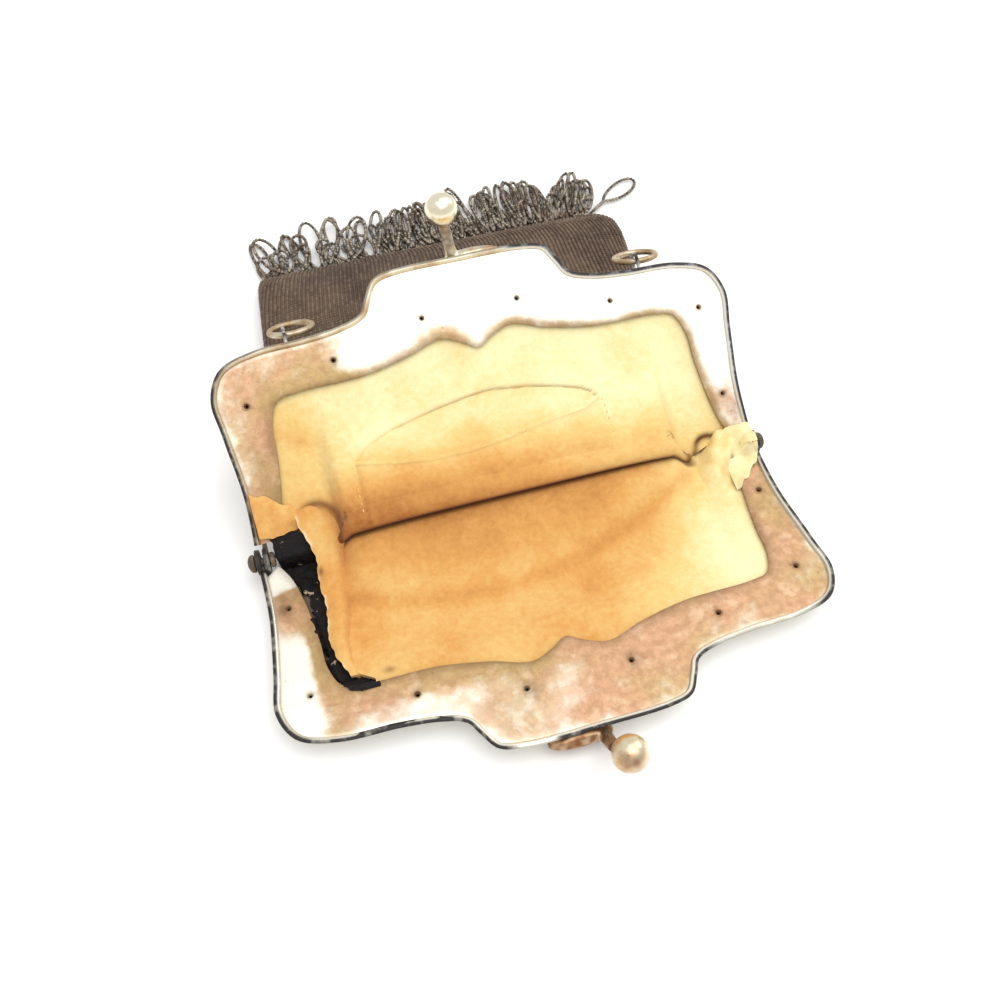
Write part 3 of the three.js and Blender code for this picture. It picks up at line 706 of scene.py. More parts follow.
def nap_group():
    """Mottled tone and raised nap of a soft sheet."""
    inputs = [("Fine Scale", FLOAT, 900.0)]
    outputs = [("Mottle", FLOAT), ("Nap", FLOAT)]
    n, given, out = new_group("nap", "ShaderNodeTree", inputs, outputs)
    at = n.place()
    broad = n.math("SUBTRACT", n.noise(at, 120.0, 5.0, 0.68), 0.5)
    fine = n.math("SUBTRACT", n.noise(at, given["Fine Scale"], 4.0, 0.65), 0.5)
    n.link(n.math("MULTIPLY_ADD", broad, 0.75, n.math("MULTIPLY", fine, 0.5)), out["Mottle"])
    fibres = n.noise(at, 3200.0, 2.0, 0.7)
    n.link(n.math("MULTIPLY_ADD", fine, 0.6, n.math("MULTIPLY", fibres, 0.4)), out["Nap"])
    return n.tree


TARNISH = tarnish_group()
NAP = nap_group()


def new_material(name):
    material = bpy.data.materials.new(name)
    material.use_nodes = True
    n = Nodes(material.node_tree)
    return material, n, material.node_tree.nodes["Principled BSDF"].inputs


def silver_finish():
    material, n, shade = new_material("worn_silver")
    tarnish = n.add("ShaderNodeGroup", node_tree=TARNISH)
    n.link(n.math("ADD", n.mark("tan"), 0.26), tarnish.inputs["Cover"])
    tarnish.inputs["Patch Scale"].default_value = 190.0
    tone = n.mix(tarnish.outputs["Tarnish"], paint(242, 234, 208), paint(190, 154, 108))
    tone = n.mix(n.math("MULTIPLY", tarnish.outputs["Specks"], 0.6), tone, paint(96, 74, 48))
    patch = n.ramp(n.noise(n.place(), 420.0, 4.0, 0.6), 0.3, 0.55)
    tone = n.mix(n.ramp(n.mark("tan"), -0.5, 0.0, 1.0, 0.0), tone, paint(254, 252, 247))
    tone = n.mix(n.mark("rust"), tone, paint(140, 84, 58))
    # grime takes the metal to near black: real grime, and painted shade and dark reflection on the rim's bead, in its
    # groove and in hollows
    grime = n.math("MULTIPLY", n.mark("grime"), n.math("MULTIPLY_ADD", patch, 0.3, 0.75), clamp=True)
    tone = n.mix(grime, tone, paint(26, 19, 14))
    n.link(tone, shade["Base Color"])
    n.link(n.ramp(grime, 0.0, 1.0, 1.0, 0.0), shade["Metallic"])
    rough = n.math("MULTIPLY_ADD", tarnish.outputs["Tarnish"], 0.22, 0.24)
    n.link(n.math("MULTIPLY_ADD", grime, 0.3, rough), shade["Roughness"])
    n.link(n.bump(tarnish.outputs["Rubbing"], 0.12, 0.00012), shade["Normal"])
    return material


def plate_finish():
    material, n, shade = new_material("tarnished_plate")
    tarnish = n.add("ShaderNodeGroup", node_tree=TARNISH)
    n.link(n.mark("tan"), tarnish.inputs["Cover"])
    tarnish.inputs["Patch Scale"].default_value = 150.0
    at = n.place()
    pink = n.math("SUBTRACT", n.ramp(n.noise(at, 75.0), 0.38, 0.62), n.mark("olive"), clamp=True)
    tan = n.mix(pink, paint(190, 162, 112), paint(206, 163, 129))
    grain = n.ramp(n.noise(at, 620.0, 5.0, 0.7), 0.36, 0.64)
    tan = n.mix(n.math("MULTIPLY", grain, 0.48), tan, paint(160, 122, 86))
    pale = n.ramp(n.noise(at, 300.0, 5.0, 0.65), 0.54, 0.68)
    tan = n.mix(n.math("MULTIPLY", pale, 0.38), tan, paint(228, 206, 172))
    tone = n.mix(tarnish.outputs["Tarnish"], paint(248, 243, 228), tan)
    tone = n.mix(n.math("MULTIPLY", tarnish.outputs["Specks"], 0.4), tone, paint(120, 96, 62))
    tone = n.mix(n.mark("stain"), tone, paint(104, 76, 42))
    crumbs = n.noise(at, 700.0, 4.0, 0.6)
    black = n.ramp(n.math("MULTIPLY_ADD", crumbs, 0.6, n.mark("residue")), 0.72, 0.8)
    tone = n.mix(black, tone, paint(40, 30, 24))
    n.link(tone, shade["Base Color"])
    n.link(n.ramp(black, 0.0, 1.0, 0.72, 0.0), shade["Metallic"])
    n.link(n.math("MULTIPLY_ADD", tarnish.outputs["Tarnish"], 0.2, 0.36), shade["Roughness"])
    n.link(n.bump(tarnish.outputs["Rubbing"], 0.15, 0.00015), shade["Normal"])
    return material


def chamois_finish():
    material, n, shade = new_material("chamois_skin")
    nap = n.add("ShaderNodeGroup", node_tree=NAP)
    level = n.math("ADD", n.mark("ochre"), nap.outputs["Mottle"])
    level = n.math("DIVIDE", level, 1.5, clamp=True)
    tone = n.tones(level, [
        (0.0, paint(238, 228, 178)), (0.3, paint(228, 196, 126)), (0.62, paint(212, 155, 86)),
        (1.0, paint(166, 106, 52)),
    ])
    # soil browns the tone: real soil, and painted shade under the lip, at the slit, in creases and round standing
    # edges
    tone = n.mix(n.mark("soil"), tone, paint(88, 44, 20))
    tone = n.mix(n.mark("fray"), tone, paint(240, 216, 172))
    n.link(tone, shade["Base Color"])
    shade["Roughness"].default_value = 0.92
    shade["Specular IOR Level"].default_value = 0.15
    shade["Sheen Weight"].default_value = 0.1
    shade["Sheen Roughness"].default_value = 0.5
    n.link(n.bump(nap.outputs["Nap"], 0.5, 0.00035), shade["Normal"])
    return material


def knit_finish():
    material, n, shade = new_material("bead_knit")
    at = n.place()
    fade = n.ramp(n.noise(at, 60.0, 4.0, 0.6), 0.35, 0.65)
    tone = n.mix(fade, paint(82, 62, 48), paint(112, 92, 74))
    glint = n.ramp(n.mark("tint"), 0.55, 1.0)
    tone = n.mix(n.math("MULTIPLY", glint, 0.35), tone, paint(140, 118, 96))
    dull = n.ramp(n.mark("tint"), 0.0, 0.35, 0.3, 0.0)
    tone = n.mix(dull, tone, paint(48, 34, 26))
    n.link(tone, shade["Base Color"])
    shade["Metallic"].default_value = 0.25
    shade["Roughness"].default_value = 0.42
    n.link(n.bump(n.noise(at, 2600.0, 2.0, 0.6), 0.2, 0.0001), shade["Normal"])
    return material


def fringe_finish():
    material, n, shade = new_material("steel_beads")
    at = n.place()
    rust = n.ramp(n.noise(at, 170.0, 4.0, 0.65), 0.45, 0.7)
    tone = n.mix(n.mark("tint"), paint(66, 58, 50), paint(168, 158, 142))
    tone = n.mix(n.math("MULTIPLY", rust, 0.5), tone, paint(104, 68, 50))
    n.link(tone, shade["Base Color"])
    shade["Metallic"].default_value = 0.7
    n.link(n.ramp(rust, 0.0, 1.0, 0.32, 0.6), shade["Roughness"])
    n.link(n.bump(n.noise(at, 2200.0, 2.0, 0.6), 0.15, 0.0001), shade["Normal"])
    return material


def thread_finish(name, light, dark):
    material, n, shade = new_material(name)
    nap = n.add("ShaderNodeGroup", node_tree=NAP)
    tone = n.mix(n.ramp(nap.outputs["Mottle"], -0.15, 0.15), dark, light)
    n.link(tone, shade["Base Color"])
    shade["Roughness"].default_value = 0.8
    n.link(n.bump(nap.outputs["Nap"], 0.3, 0.0001), shade["Normal"])
    return material


def backing_finish():
    material, n, shade = new_material("black_backing")
    at = n.place()
    crumbs = n.noise(at, 650.0, 5.0, 0.65)
    tone = n.mix(n.ramp(crumbs, 0.4, 0.7), paint(9, 7, 8), paint(34, 26, 24))
    flecks = n.ramp(n.noise(at, 480.0, 3.0, 0.7), 0.64, 0.68)
    tone = n.mix(n.math("MULTIPLY", flecks, 0.8), tone, paint(196, 178, 152))
    n.link(tone, shade["Base Color"])
    n.link(n.ramp(crumbs, 0.3, 0.7, 0.5, 0.85), shade["Roughness"])
    shade["Specular IOR Level"].default_value = 0.25
    n.link(n.bump(crumbs, 0.8, 0.0006), shade["Normal"])
    return material


def table_finish():
    material, n, shade = new_material("pale_table")
    grain = n.noise(n.place(), 25.0, 3.0, 0.5)
    n.link(n.mix(grain, paint(249, 248, 246), paint(252, 252, 251)), shade["Base Color"])
    shade["Roughness"].default_value = 0.9
    return material


SILVER = silver_finish()
PLATE = plate_finish()
CHAMOIS = chamois_finish()
KNIT = knit_finish()
STEEL_BEADS = fringe_finish()
BACKING_CLOTH = backing_finish()
YELLOW_THREAD = thread_finish("yellow_thread", paint(238, 208, 142), paint(216, 178, 114))
DARK_THREAD = thread_finish("dark_thread", paint(96, 80, 66), paint(52, 42, 34))


# What repeats or follows a path

def attribute_field(n, label, kind):
    node = n.add("GeometryNodeInputNamedAttribute", {"Name": label}, data_type=kind)
    return next(s for s in node.outputs if s.enabled and s.name == "Attribute")


def facing_rotation(n):
    """Turns an instance's z to the mark 'facing' and its x to the mark 'run'."""
    facing = attribute_field(n, "facing", "FLOAT_VECTOR")
    run = attribute_field(n, "run", "FLOAT_VECTOR")
    up = n.add("FunctionNodeAlignRotationToVector", {"Vector": facing}, axis="Z").outputs[0]
    turn = {"Rotation": up, "Vector": run}
    return n.add("FunctionNodeAlignRotationToVector", turn, axis="X", pivot_axis="Z").outputs[0]


def coated(n, geometry, material):
    return n.add("GeometryNodeSetMaterial", {0: geometry, "Material": material}).outputs[0]


def circle(n, steps, radius):
    inputs = {"Resolution": steps, "Radius": radius}
    return n.add("GeometryNodeCurvePrimitiveCircle", inputs).outputs[0]


def finish_tree(n, instances, material, out):
    solid = n.add("GeometryNodeRealizeInstances", {0: instances}).outputs[0]
    shaded = n.add("GeometryNodeSetShadeSmooth", {0: solid}).outputs[0]
    n.link(coated(n, shaded, material), out)


def bead_cover_tree():
    """A bead or stitch on each point, turned by its marks and sized by the mark 'size'."""
    inputs = [
        ("Geometry", GEOMETRY, None), ("Radius", FLOAT, 0.0004), ("Shape", VECTOR, (1.0, 1.0, 1.0)),
        ("Material", MATERIAL, None),
    ]
    n, given, out = new_group("bead_cover", "GeometryNodeTree", inputs, [("Geometry", GEOMETRY)])
    inputs = {"Radius": given["Radius"], "Subdivisions": 1}
    bead = n.add("GeometryNodeMeshIcoSphere", inputs).outputs[0]
    inputs = {0: given["Shape"], "Scale": attribute_field(n, "size", "FLOAT")}
    scale = n.add("ShaderNodeVectorMath", inputs, operation="SCALE").outputs[0]
    inputs = {
        "Points": given["Geometry"], "Instance": bead, "Rotation": facing_rotation(n), "Scale": scale,
    }
    finish_tree(n, n.add("GeometryNodeInstanceOnPoints", inputs).outputs[0], given["Material"], out[0])
    return n.tree


def wire_rings_tree():
    """A wire ring on each point, facing along its mark."""
    inputs = [
        ("Geometry", GEOMETRY, None), ("Ring Radius", FLOAT, 0.004), ("Wire Radius", FLOAT, 0.0006),
        ("Steps", WHOLE, 48), ("Sides", WHOLE, 12), ("Material", MATERIAL, None),
    ]
    n, given, out = new_group("wire_rings", "GeometryNodeTree", inputs, [("Geometry", GEOMETRY)])
    line = circle(n, given["Steps"], given["Ring Radius"])
    wire = circle(n, given["Sides"], given["Wire Radius"])
    ring = n.add("GeometryNodeCurveToMesh", {0: line, 1: wire}).outputs[0]
    inputs = {"Points": given["Geometry"], "Instance": ring, "Rotation": facing_rotation(n)}
    finish_tree(n, n.add("GeometryNodeInstanceOnPoints", inputs).outputs[0], given["Material"], out[0])
    return n.tree


def bead_strand_tree():
    """Beads strung along lines, with the thread that runs through them."""
    inputs = [
        ("Geometry", GEOMETRY, None), ("Bead Radius", FLOAT, 0.0005), ("Pitch", FLOAT, 0.00095),
        ("Thread Radius", FLOAT, 0.00018), ("Seed", WHOLE, 3),
        ("Bead Material", MATERIAL, None), ("Thread Material", MATERIAL, None),
    ]
    n, given, out = new_group("bead_strand", "GeometryNodeTree", inputs, [("Geometry", GEOMETRY)])
    line = n.add("GeometryNodeMeshToCurve", {0: given["Geometry"]}).outputs[0]
    inputs = {"Curve": line, "Length": given["Pitch"]}
    points = n.add("GeometryNodeCurveToPoints", inputs, mode="LENGTH")
    inputs = {"Segments": 7, "Rings": 4, "Radius": given["Bead Radius"]}
    bead = n.add("GeometryNodeMeshUVSphere", inputs).outputs[0]
    inputs = {2: 0.88, 3: 1.12, "Seed": given["Seed"]}
    size = n.add("FunctionNodeRandomValue", inputs, data_type="FLOAT")
    tint = n.add("FunctionNodeRandomValue", {"Seed": given["Seed"]}, data_type="FLOAT")
    inputs = {"Geometry": points.outputs["Points"], "Name": "tint", "Value": tint.outputs[1]}
    marked = n.add("GeometryNodeStoreNamedAttribute", inputs, data_type="FLOAT", domain="POINT")
    inputs = {
        "Points": marked.outputs[0], "Instance": bead, "Rotation": points.outputs["Rotation"],
        "Scale": size.outputs[1],
    }
    beads = n.add("GeometryNodeInstanceOnPoints", inputs).outputs[0]
    beads = n.add("GeometryNodeRealizeInstances", {0: beads}).outputs[0]
    beads = coated(n, beads, given["Bead Material"])
    inputs = {"Curve": line, "Length": 0.0015}
    even = n.add("GeometryNodeResampleCurve", inputs, mode="LENGTH").outputs[0]
    wire = circle(n, 5, given["Thread Radius"])
    thread = n.add("GeometryNodeCurveToMesh", {0: even, 1: wire, "Fill Caps": True}).outputs[0]
    thread = coated(n, thread, given["Thread Material"])
    both = n.add("GeometryNodeJoinGeometry")
    n.link(beads, both.inputs[0])
    n.link(thread, both.inputs[0])
    n.link(n.add("GeometryNodeSetShadeSmooth", {0: both.outputs[0]}).outputs[0], out[0])
    return n.tree


BEAD_COVER = bead_cover_tree()
WIRE_RINGS = wire_rings_tree()
BEAD_STRAND = bead_strand_tree()


def grown(name, points, edges, marks, tree, values):
    """Runs a tree on points or lines and keeps its result as a plain mesh."""
    mesh = bpy.data.meshes.new(name)
    mesh.from_pydata((np.asarray(points, float) * MM).tolist(), edges, [])
    add_marks(mesh, marks)
    piece = new_object(name, mesh)
    modifier = piece.modifiers.new("grow", "NODES")
    modifier.node_group = tree
    for item in tree.interface.items_tree:
        if item.item_type == "SOCKET" and item.in_out == "INPUT" and item.name in values:
            modifier[item.identifier] = values[item.name]
    return applied(piece)


def bead_cover(name, points, facing, run, radius, material, shape=(1.0, 1.0, 1.0), spread=0.1):
    count = len(points)
    marks = {
        "facing": facing, "run": run, "size": 1 + spread * chance.uniform(-1, 1, count),
        "tint": chance.uniform(0, 1, count),
    }
    values = {"Radius": radius * MM, "Shape": shape, "Material": material}
    return grown(name, points, [], marks, BEAD_COVER, values)


def bead_strands(name, lines, radius, pitch, seed=3):
    points, edges = [], []
    for line in lines:
        first = len(points)
        points.extend(line)
        edges.extend((i, i + 1) for i in range(first, len(points) - 1))
    values = {
        "Bead Radius": radius * MM, "Pitch": pitch * MM, "Thread Radius": 0.35 * radius * MM,
        "Seed": seed, "Bead Material": STEEL_BEADS, "Thread Material": DARK_THREAD,
    }
    return grown(name, points, edges, {}, BEAD_STRAND, values)


# Pieces and what they stand for

PIECES = []


def keep(piece, slot, *nodes):
    PIECES.append((piece, slot, nodes))
    return piece


# Metal

def frame_shell(name, place, start, bead, soiling_and_shade, chips=()):
    """Domed wall and outer plate of a half, pressed from one sheet, with small dents and chips.
    The bead along the edge is drawn to a share of its height. soiling_and_shade gives by place how dark the bead is,
    how far the dark has crept in on the rim, and how tan or bright the metal is. That dark is partly grime and partly
    painted shade and dark reflection."""
    chosen = RIM_LINE[:, 1] >= start
    rim, window, inward = RIM_LINE[chosen], WINDOW_LINE[chosen], INWARD[chosen]
    across = window - rim
    wide = np.linalg.norm(across, axis=1)[:, None]
    across = across / wide * np.minimum(1, DOME_PER_MM * wide)
    rings, grime = [], []
    for inset, dome, z, dirt_and_shade in WALL:
        level = z * bead if z > BEAD_FOOT else z
        rings.append(at_level(rim + inward * inset + across * dome, level))
        grime.append(dirt_and_shade)
    foot, under = rings[-1][:, :2], rings[0][:, :2]
    for line, rows in ((foot, PLATE_ABOVE), (under, PLATE_BELOW)):
        for share, z, dirt_and_shade in rows:
            rings.append(at_level(lerp(line, window, share), z))
            grime.append(dirt_and_shade)
    rings = np.stack(rings, 1)
    flat = rings * (1, 1, 0)
    rings[..., 2] += 0.05 * wander(flat, 9, 1)
    rings[..., :2] -= 0.06 * wander(flat, 6, 2)[..., None] * inward[:, None, :]
    grime = np.tile(grime, (len(rim), 1))
    bead_dark, crept, tan = (level[:, None] for level in soiling_and_shade(rim[:, 0], rim[:, 1]))
    # Dark on the bead and where it creeps onto the rim: partly grime, partly painted shade and dark reflection
    grime = np.where(rings[..., 2] > DARK_FOOT, grime * bead_dark, grime)
    insets = np.array([row[0] for row in WALL] + [1.0] * len(PLATE_ABOVE + PLATE_BELOW))
    on_top = smooth(insets, 0.2, 0.3) * (1 - smooth(insets, 0.5, 0.78))
    grime = np.maximum(grime, crept * on_top)
    for x, h, size in chips:
        reach = np.hypot(flat[..., 0] - x, flat[..., 1] - h) / size
        chipped = smooth(1.3 - reach + 0.8 * wander(flat, 0.9, 4), 0.35, 0.5)
        grime = np.maximum(grime, chipped * (rings[..., 2] > CHIP_FOOT))
    marks = {"grime": grime, "tan": tan + 0 * grime}
    return loft(name, place(rings), SILVER, marks, crease=50)


def dirtied(piece, grime, tan=0.0):
    """Gives the whole piece one level of grime and tan."""
    count = len(piece.data.vertices)
    add_marks(piece.data, {"grime": np.full(count, grime), "tan": np.full(count, tan)})
    return piece


def soiled_near(piece, centres, radius, level, label="grime"):
    """Raises a mark of what lies near the given places."""
    at = np.array([v.co for v in piece.data.vertices]) / MM
    layer = piece.data.attributes[label]
    soil = np.zeros(len(at), np.float32)
    layer.data.foreach_get("value", soil)
    for centre in centres:
        reach = np.linalg.norm(at - centre, axis=1)
        soil = np.maximum(soil, level * (1 - smooth(reach, radius * 1.05, radius * 1.3)))
    layer.data.foreach_set("value", soil.astype(np.float32))
    return piece


def washer(centre, axis):
    half, edge = EAR_HALF, 0.12
    profile = [
        (PIN_HOLE, -half), (PIN_HOLE, half), (EAR_RADIUS - edge, half), (EAR_RADIUS, half - edge),
        (EAR_RADIUS, edge - half), (EAR_RADIUS - edge, -half),
    ]
    return dirtied(turned("ear", profile, centre, axis, SILVER, sides=32, ring=True), 0.7, 0.4)


def bar(low, high, place):
    """Bar between two corners in a half's own axes, its ends eased."""
    ease = 0.12
    rings = []
    for h, shrink in ((low[1], ease), (low[1] + ease, 0), (high[1] - ease, 0), (high[1], ease)):
        x0, x1, z0, z1 = low[0] + shrink, high[0] - shrink, low[2] + shrink, high[2] - shrink
        rings.append([(x0, h, z0), (x1, h, z0), (x1, h, z1), (x0, h, z1)])
    return loft("bar", place(np.array(rings)), SILVER, crease=30)


def front_frame():
    def soiling_and_shade(x, h):
        shoulder = smooth(h, 37.4, 38.4) * (1 - smooth(h, 39.4, 40.6)) * smooth(-x, 0, 8)
        bare = smooth(h, 46.8, 47.6) * smooth(x, 6, 9) * (1 - smooth(x, 13, 16))
        return 1 - 0.5 * shoulder - 0.7 * bare, 0.9 * smooth(np.abs(x), 44, 48.5), -0.2 + 0 * x

    shell = frame_shell("front_frame_shell", on_front, 0.0, 0.45, soiling_and_shade, CHIPS)
    hinges = [(side * FRONT_EAR_X, 0, TRAY) for side in SIDES]
    fuse(shell, [washer(centre, (1, 0, 0)) for centre in hinges], crease=40)
    return soiled_near(shell, hinges, EAR_RADIUS, 0.95)


def back_frame():
    def soiling_and_shade(x, h):
        right = smooth(x, 6, 12)
        crept = np.maximum(0.95 * right, 0.8 * smooth(-x, 44, 48.5))
        return 1 - 0.4 * smooth(h, 37, 39) * (1 - right), crept, 0.12 - 0.55 * right

    shell = frame_shell("back_frame_shell", on_back, PLATE_START, 1.0, soiling_and_shade)
    hinges = [(side * BACK_EAR_X, 0, TRAY) for side in SIDES]
    eyes = [on_back(np.array((side * EYE_X, EYE_H, EYE_Z))) for side in SIDES]
    fittings = []
    for side, hinge in zip(SIDES, hinges):
        fittings.append(washer(hinge, (1, 0, 0)))
        for x0, x1, start in LUGS:
            a, b = sorted((side * x0, side * x1))
            fittings.append(bar((a, start, LUG_LOW), (b, LUG_END, LUG_HIGH), on_back))
        x, low, high = side * EYE_X, EYE_Z - EYE_RADIUS, EYE_Z + EYE_RADIUS
        turn = np.linspace(-math.pi / 2, math.pi / 2, 17)
        loop = [(x, EYE_H + EYE_RADIUS * math.cos(a), EYE_Z + EYE_RADIUS * math.sin(a)) for a in turn]
        loop = np.array([(x, EYE_LOWER_END, low), *loop, (x, EYE_UPPER_END, high)])
        fittings.append(dirtied(tube("eye", on_back(loop), EYE_WIRE, SILVER, sides=10), 0.45, 0.4))
    fuse(shell, fittings, crease=40)
    soiled_near(shell, hinges, EAR_RADIUS, 0.9)
    return soiled_near(shell, eyes, 1.9, 0.6)


def plate_marks(points, share, wide, front):
    """Tan tarnish, stains, black residue and a darker band along the window edge on an inner plate, by place in its
    half's own axes.
    """
    x, h = points[..., 0], points[..., 1]
    if front:
        x = -x
        tan = 0.84 + 0.1 * smooth(x, 0, 20) - 0.22 * smooth(-np.abs(x + 10), -13, -4)
        tan = tan - 0.8 * smooth(-x, 42.3, 45.5) * smooth(h, 14, 21) * smooth(-h, -38.5, -34)
        tan = tan - 0.4 * smooth(-x, 14, 22) * smooth(x, -42, -37) * smooth(h, 32.5, 36)
        tan = tan - 1.2 * smooth(-x, 43.2, 44.4) * smooth(-h, -7.6, -6.8)
        residue = smooth(-x, 41, 43.5) * smooth(-h, -9, -4) * 0.3
    else:
        tan = 0.05 + 0.72 * smooth(-x, 21, 31) - 0.25 * smooth(-np.abs(x + 20), -6, -1)
        tan = tan + 0.36 * smooth(x, 43, 47) * smooth(-h, -17, -9)
        tan = tan + 0.2 * smooth(x, 44, 49) * smooth(-h, -32, -20)
        residue = np.zeros_like(x)
    to_window, to_rim = (1 - share) * wide, share * wide
    middle = 0 * x if front else smooth(x, -31, -24)
    # Darker, browner band along the window edge
    band = bell(to_window, lerp(3.0, 1.7, smooth(x, -5, 20) * middle))
    tan = tan + lerp(0.56, 0.74, middle) * band - 0.25 * bell(to_rim, 0.5)
    flat = points * (1, 1, 0)
    ragged = to_window + 0.8 * wander(flat, 5, 8 + front)
    stain = 0.5 * bell(np.maximum(ragged, 0), 1.3) * (0.8 + 0.3 * wander(flat, 7, 6))
    for sx, sh, size, depth in FRONT_SPOTS if front else BACK_SPOTS:
        stain = np.maximum(stain, depth * bell(np.hypot(x - sx, h - sh), size))
    for hx, hh in HOLES:
        stain = np.maximum(stain, 0.3 * bell(np.hypot(x - hx, h - hh) - HOLE_MOUTH, 0.45))
    return {"tan": tan, "stain": stain, "residue": residue, "olive": middle * band + 0 * tan}


def hole_places(front):
    """Middles of a half's sewing holes, and the tan of the plate round each."""
    at = np.array([(hx, hh, HOLE_LEVEL) for hx, hh in HOLES])
    return at, plate_marks(at, 0.5, 9.0, front)["tan"]


def inner_plate(name, place, front):
    chosen = RIM_LINE[:, 1] >= (1.2 if front else PLATE_START)
    rim, window, inward = RIM_LINE[chosen], WINDOW_LINE[chosen], INWARD[chosen]
    past_hinge = smooth(rim[:, 1], 1.2, 3.4)[:, None]
    outer = rim + inward * lerp(3.25, 0.95, past_hinge)
    rings = np.stack([at_level(lerp(outer, window, share), z) for share, z in INNER_PLATE], 1)
    shares = [share for share, z in INNER_PLATE]
    flat = rings * (1, 1, 0)
    dents = 0.11 * wander(flat, 13, 3 + front) + 0.05 * wander(flat, 4, 5 + front)
    rings[..., 2] += dents * smooth(shares, 0, 0.1)
    wide = np.linalg.norm(window - outer, axis=1)[:, None]
    marks = plate_marks(rings, np.broadcast_to(shares, rings.shape[:2]), wide, front)
    plate = loft(name, place(rings), PLATE, marks, crease=50)
    drills = []
    profile = [(HOLE_RADIUS, 0), (HOLE_RADIUS, 1.4), (HOLE_MOUTH, 1.98), (HOLE_MOUTH, 3.5)]
    for hx, hh in HOLES:
        low, high = place(np.array([(hx, hh, -2.5), (hx, hh, 1.0)]))
        drills.append(turned("drill", profile, low, high - low, PLATE, sides=16))
    fuse(plate, drills, "DIFFERENCE", crease=50)
    at, tans = hole_places(front)
    for centre, tan in zip(place(at), tans):
        soiled_near(plate, [centre], HOLE_SOIL, tan, "tan")
        soiled_near(plate, [centre], HOLE_SOIL, 0.28 + 0.3 * min(max(tan, 0), 1), "stain")
    return plate


def hole_rims(name, place, front):
    """Raised burr round each sewing hole."""
    at, tans = hole_places(front)
    facing = place(at + (0, 0, 1)) - place(at)
    count = len(at)
    marks = {
        "facing": facing, "run": np.tile((1.0, 0, 0), (count, 1)), "tan": tans,
        "stain": np.full(count, 0.3),
    }
    values = {
        "Ring Radius": BURR_RADIUS * MM, "Wire Radius": BURR_WIRE * MM, "Steps": 20, "Sides": 6,
        "Material": PLATE,
    }
    return grown(name, place(at), [], marks, WIRE_RINGS, values)


def clasp_knob(name, place, soiling_and_shade, tan, rust):
    """Leaf-shaped foot soldered to the rim, a leaning stalk and a ball."""
    rings = []
    angles = np.linspace(-math.pi / 2, math.pi / 2, 15)
    ridges = 1 + 0.1 * np.cos(5 * angles)
    for x in np.linspace(LEAF_START, LEAF_END, 33):
        t = min(abs(x - LEAF_MIDDLE) / LEAF_HALF, 0.995)
        high = 1.5 * (1 - t * t) ** 0.8 + 0.05
        thick = 1.3 * (1 - t * t) ** 0.5 + 0.1
        dome = [
            (x, LEAF_FRONT + thick * math.cos(a) * ridge, LEAF_LEVEL + high * math.sin(a))
            for a, ridge in zip(angles, ridges)
        ]
        rings.append([(x, LEAF_BACK, LEAF_LEVEL - high), *dome, (x, LEAF_BACK, LEAF_LEVEL + high)])
    knob = loft(name, place(np.array(rings)), SILVER)
    foot, lean, end = np.array((-0.8, 49.0, -2.4)), np.array((-1.2, 53.6, -0.2)), np.array(BALL)
    t = np.linspace(0, 1, 16)[:, None]
    path = foot * (1 - t) ** 2 + lean * 2 * t * (1 - t) + end * t ** 2
    fuse(knob, [tube("stalk", place(path), np.linspace(1.25, 0.85, 16), SILVER, sides=14)])
    skin = knob.modifiers.new("solder", "REMESH")
    skin.mode = "VOXEL"
    skin.voxel_size = SOLDER_VOXEL * MM
    applied(knob)
    edit = bmesh.new()
    edit.from_mesh(knob.data)
    for _ in range(4):
        bmesh.ops.smooth_vert(
            edit, verts=edit.verts, factor=0.5, use_axis_x=True, use_axis_y=True, use_axis_z=True)
    edit.to_mesh(knob.data)
    edit.free()
    angles = np.linspace(0, math.pi, 25)[1:-1]
    profile = [(BALL_RADIUS * math.sin(a), -BALL_RADIUS * math.cos(a)) for a in angles]
    centre, above = place(np.array([BALL, (BALL[0], BALL[1], BALL[2] + 1)]))
    fuse(knob, [turned("ball", profile, centre, above - centre, SILVER, sides=40)], crease=60)
    knob.data.materials.clear()
    knob.data.materials.append(SILVER)
    at = np.array([v.co for v in knob.data.vertices]) / MM
    away = np.linalg.norm(at - centre, axis=1)
    off_ball = smooth(away, BALL_RADIUS + 0.1, BALL_RADIUS + 1.0)
    stalk = off_ball * (1 - smooth(away, 7.5, 9.5))
    mottle = smooth(wander(at, 1.1, 92), -0.3, 0.35)
    rubbed = centre + BALL_RADIUS * np.array((-0.21, -0.76, 0.61))
    blotch = bell(np.linalg.norm(at - rubbed, axis=1), 1.7) * (0.5 + 0.5 * mottle)
    add_marks(knob.data, {
        "grime": soiling_and_shade * (0.5 + 0.5 * mottle) * (stalk + 0.25 * off_ball),
        "tan": tan + 0.15 * off_ball,
        "rust": rust * lerp(blotch, 0.25 + 0.75 * mottle, off_ball),
    })
    return knob


def hinge_pin(name, side):
    inside, outside = BACK_EAR_X - EAR_HALF - 0.3, FRONT_EAR_X + EAR_HALF + 0.3
    angles = np.linspace(0, 1.5, 7)
    dome = [(PIN_HEAD * math.cos(a), outside + 0.35 + 0.95 * math.sin(a)) for a in angles]
    profile = [
        (0.3, inside - 0.8), (PIN_HEAD * 0.7, inside - 0.75), (PIN_HEAD * 0.85, inside - 0.5),
        (PIN_HEAD * 0.85, inside), (PIN_RADIUS, inside), (PIN_RADIUS, outside), (PIN_HEAD, outside),
        *dome,
    ]
    return dirtied(turned(name, profile, (0, 0, TRAY), (side, 0, 0), SILVER, sides=28), 0.85, 0.5)


